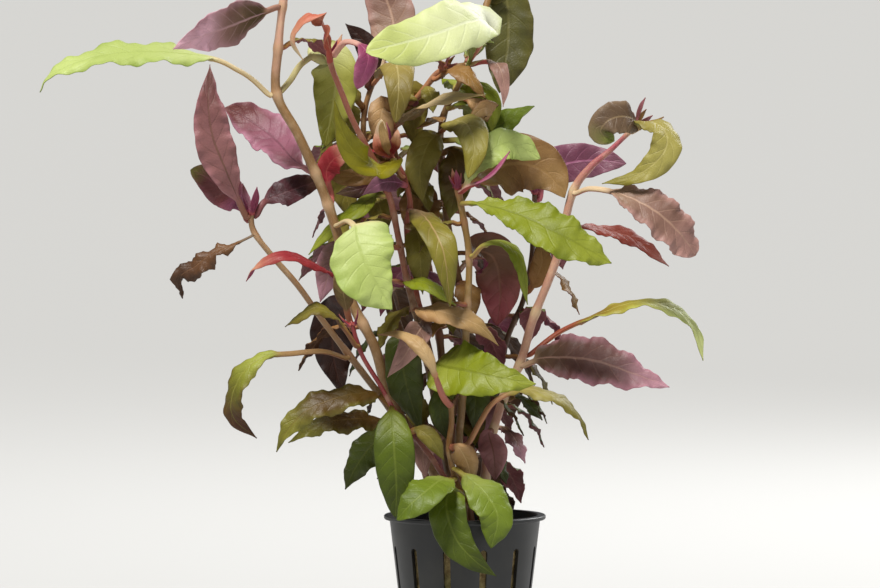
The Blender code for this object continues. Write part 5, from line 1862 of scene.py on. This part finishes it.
# %% Loose fibres
FIBRES = 700
FIBRE_SEED = 7
FIBRE_RADIUS = 0.05
FIBRE_THINNING = 0.6
FIBRE_RINGS = 5
FIBRE_SIDES = 3
FIBRE_ROOT = WOOL_TOP - 0.4
FIBRE_CEILING = WOOL_TOP + 1.6
FIBRE_OUTER_RING = MOUTH_RADIUS - 2.5
FIBRE_RISE = (0.05, 0.5)
FIBRE_LENGTH = (1.5, 4.0)
FIBRE_BEND = 0.5


def fibre_points(rng):
    """One fibre's rings, from its root on the wool to its thinner end, in metres."""
    turn = rng.uniform(0, 2 * math.pi)
    radius = rng.uniform(WELL_RADIUS, FIBRE_OUTER_RING)
    root = Vector((radius * math.cos(turn), radius * math.sin(turn), FIBRE_ROOT))
    lean = rng.uniform(0, 2 * math.pi)
    way = Vector((math.cos(lean), math.sin(lean), rng.uniform(*FIBRE_RISE)))
    length = rng.uniform(*FIBRE_LENGTH)
    bend = Vector((-math.sin(lean), math.cos(lean), 0)) * rng.uniform(-FIBRE_BEND, FIBRE_BEND)
    points = []
    for ring in range(FIBRE_RINGS):
        share = ring / (FIBRE_RINGS - 1)
        centre = root + way * length * share + bend * length * share * share
        centre.z = min(centre.z, FIBRE_CEILING)
        size = FIBRE_RADIUS * (1 - FIBRE_THINNING * share)
        for side in range(FIBRE_SIDES):
            angle = 2 * math.pi * side / FIBRE_SIDES
            points.append((centre + Vector((math.cos(angle), math.sin(angle), 0.5)) * size) * MM)
    return points


def wool_fibres():
    """All fibres joined in one mesh."""
    rng = random.Random(FIBRE_SEED)
    points = []
    faces = []
    for fibre in range(FIBRES):
        faces += tube_faces(FIBRE_RINGS, FIBRE_SIDES, len(points))
        points += fibre_points(rng)
    mesh = bpy.data.meshes.new("wool_fibres")
    mesh.from_pydata(points, [], faces)
    outward(mesh)
    mesh.materials.append(wool)
    return new_piece("wool_fibres", mesh)


wool_fibres()
print(FIBRES, "loose fibres")

# %% [markdown]
# ## The floor
#
# The plant is shown on pale paper that carries nothing but its soft shadow. A sheet bent up behind it,
# as in a studio, would only suit a view from the front. A disc wide enough to fill the view suits every
# side. It belongs to the picture and not to the plant, so it is kept off the plant's body.

# %% Floor
FLOOR_RADIUS = 30.0
FLOOR_SIDES = 96
PAPER = (0.5, 0.5, 0.495, 1.0)


def floor_disc():
    shape = bmesh.new()
    bmesh.ops.create_circle(shape, cap_ends=True, segments=FLOOR_SIDES, radius=FLOOR_RADIUS)
    mesh = bpy.data.meshes.new("floor")
    shape.to_mesh(mesh)
    shape.free()
    n = Nodes("floor_paper")
    n.shader.inputs["Base Color"].default_value = PAPER
    n.shader.inputs["Roughness"].default_value = 0.9
    mesh.materials.append(n.material)
    return new_object("floor", mesh)


floor = floor_disc()
print("floor disc", 2 * FLOOR_RADIUS, "m across")

# %% [markdown]
# ## Light
#
# One hard lamp would burn out the pale leaves and hide the inner ones. Instead one broad soft light
# shines from high at the front left, as even as daylight, with a weaker one at the right and one behind
# that draws a rim of light on the leaves. A pale blue surround keeps the shadows open.

# %% Lights
VIEW_CENTRE = Vector((-8.3, 0.0, 123.7)) * MM


def light(name, kind, place, power, **settings):
    """A light of the given kind at a place, looking at the middle of the view."""
    lamp = bpy.data.lights.new(name, kind)
    lamp.energy = power
    for key, value in settings.items():
        setattr(lamp, key, value)
    obj = new_object(name, lamp)
    obj.location = place
    obj.rotation_euler = (VIEW_CENTRE - Vector(place)).to_track_quat("-Z", "Y").to_euler()
    print(name, "light set")


light("key", "SUN", (-0.3, -0.55, 1.3), 4.4, angle=math.radians(16), color=(1.0, 0.98, 0.94))
light("fill", "AREA", (0.9, -1.2, 0.35), 3.0, size=1.2)
light("rim", "AREA", (0.5, 0.7, 0.7), 6.0, size=0.5)

# %% Surround
SURROUND = (0.9, 0.95, 1.0, 1.0)
SURROUND_STRENGTH = 0.18
world = bpy.data.worlds.new("studio")
world.use_nodes = True
background = world.node_tree.nodes["Background"]
background.inputs["Color"].default_value = SURROUND
background.inputs["Strength"].default_value = SURROUND_STRENGTH
bpy.context.scene.world = world
bpy.context.scene.view_settings.view_transform = "Standard"
print("surround at", SURROUND_STRENGTH)

# %% [markdown]
# ## Camera
#
# The plant is looked at almost level, from far away with a long lens. A camera close by would spread the
# front leaves and shrink the back ones. From its distance and the width that it should show, the lens
# length follows.

# %% Camera
VIEW_WIDTH = 293.3 * MM
CAMERA_DISTANCE = 2.4
CAMERA_ELEVATION = math.radians(3.0)
SENSOR = 36.0
FAR_CLIP = 100.0
camera_data = bpy.data.cameras.new("camera")
camera_data.sensor_width = SENSOR
camera_data.lens = SENSOR * CAMERA_DISTANCE / VIEW_WIDTH
camera_data.clip_end = FAR_CLIP
camera = new_object("camera", camera_data)
back_off = Vector((0, -math.cos(CAMERA_ELEVATION), math.sin(CAMERA_ELEVATION))) * CAMERA_DISTANCE
camera.location = VIEW_CENTRE + back_off
camera.rotation_euler = (VIEW_CENTRE - camera.location).to_track_quat("-Z", "Y").to_euler()
bpy.context.scene.camera = camera
print("camera", CAMERA_DISTANCE, "m away, lens", round(camera_data.lens), "mm")

# %% [markdown]
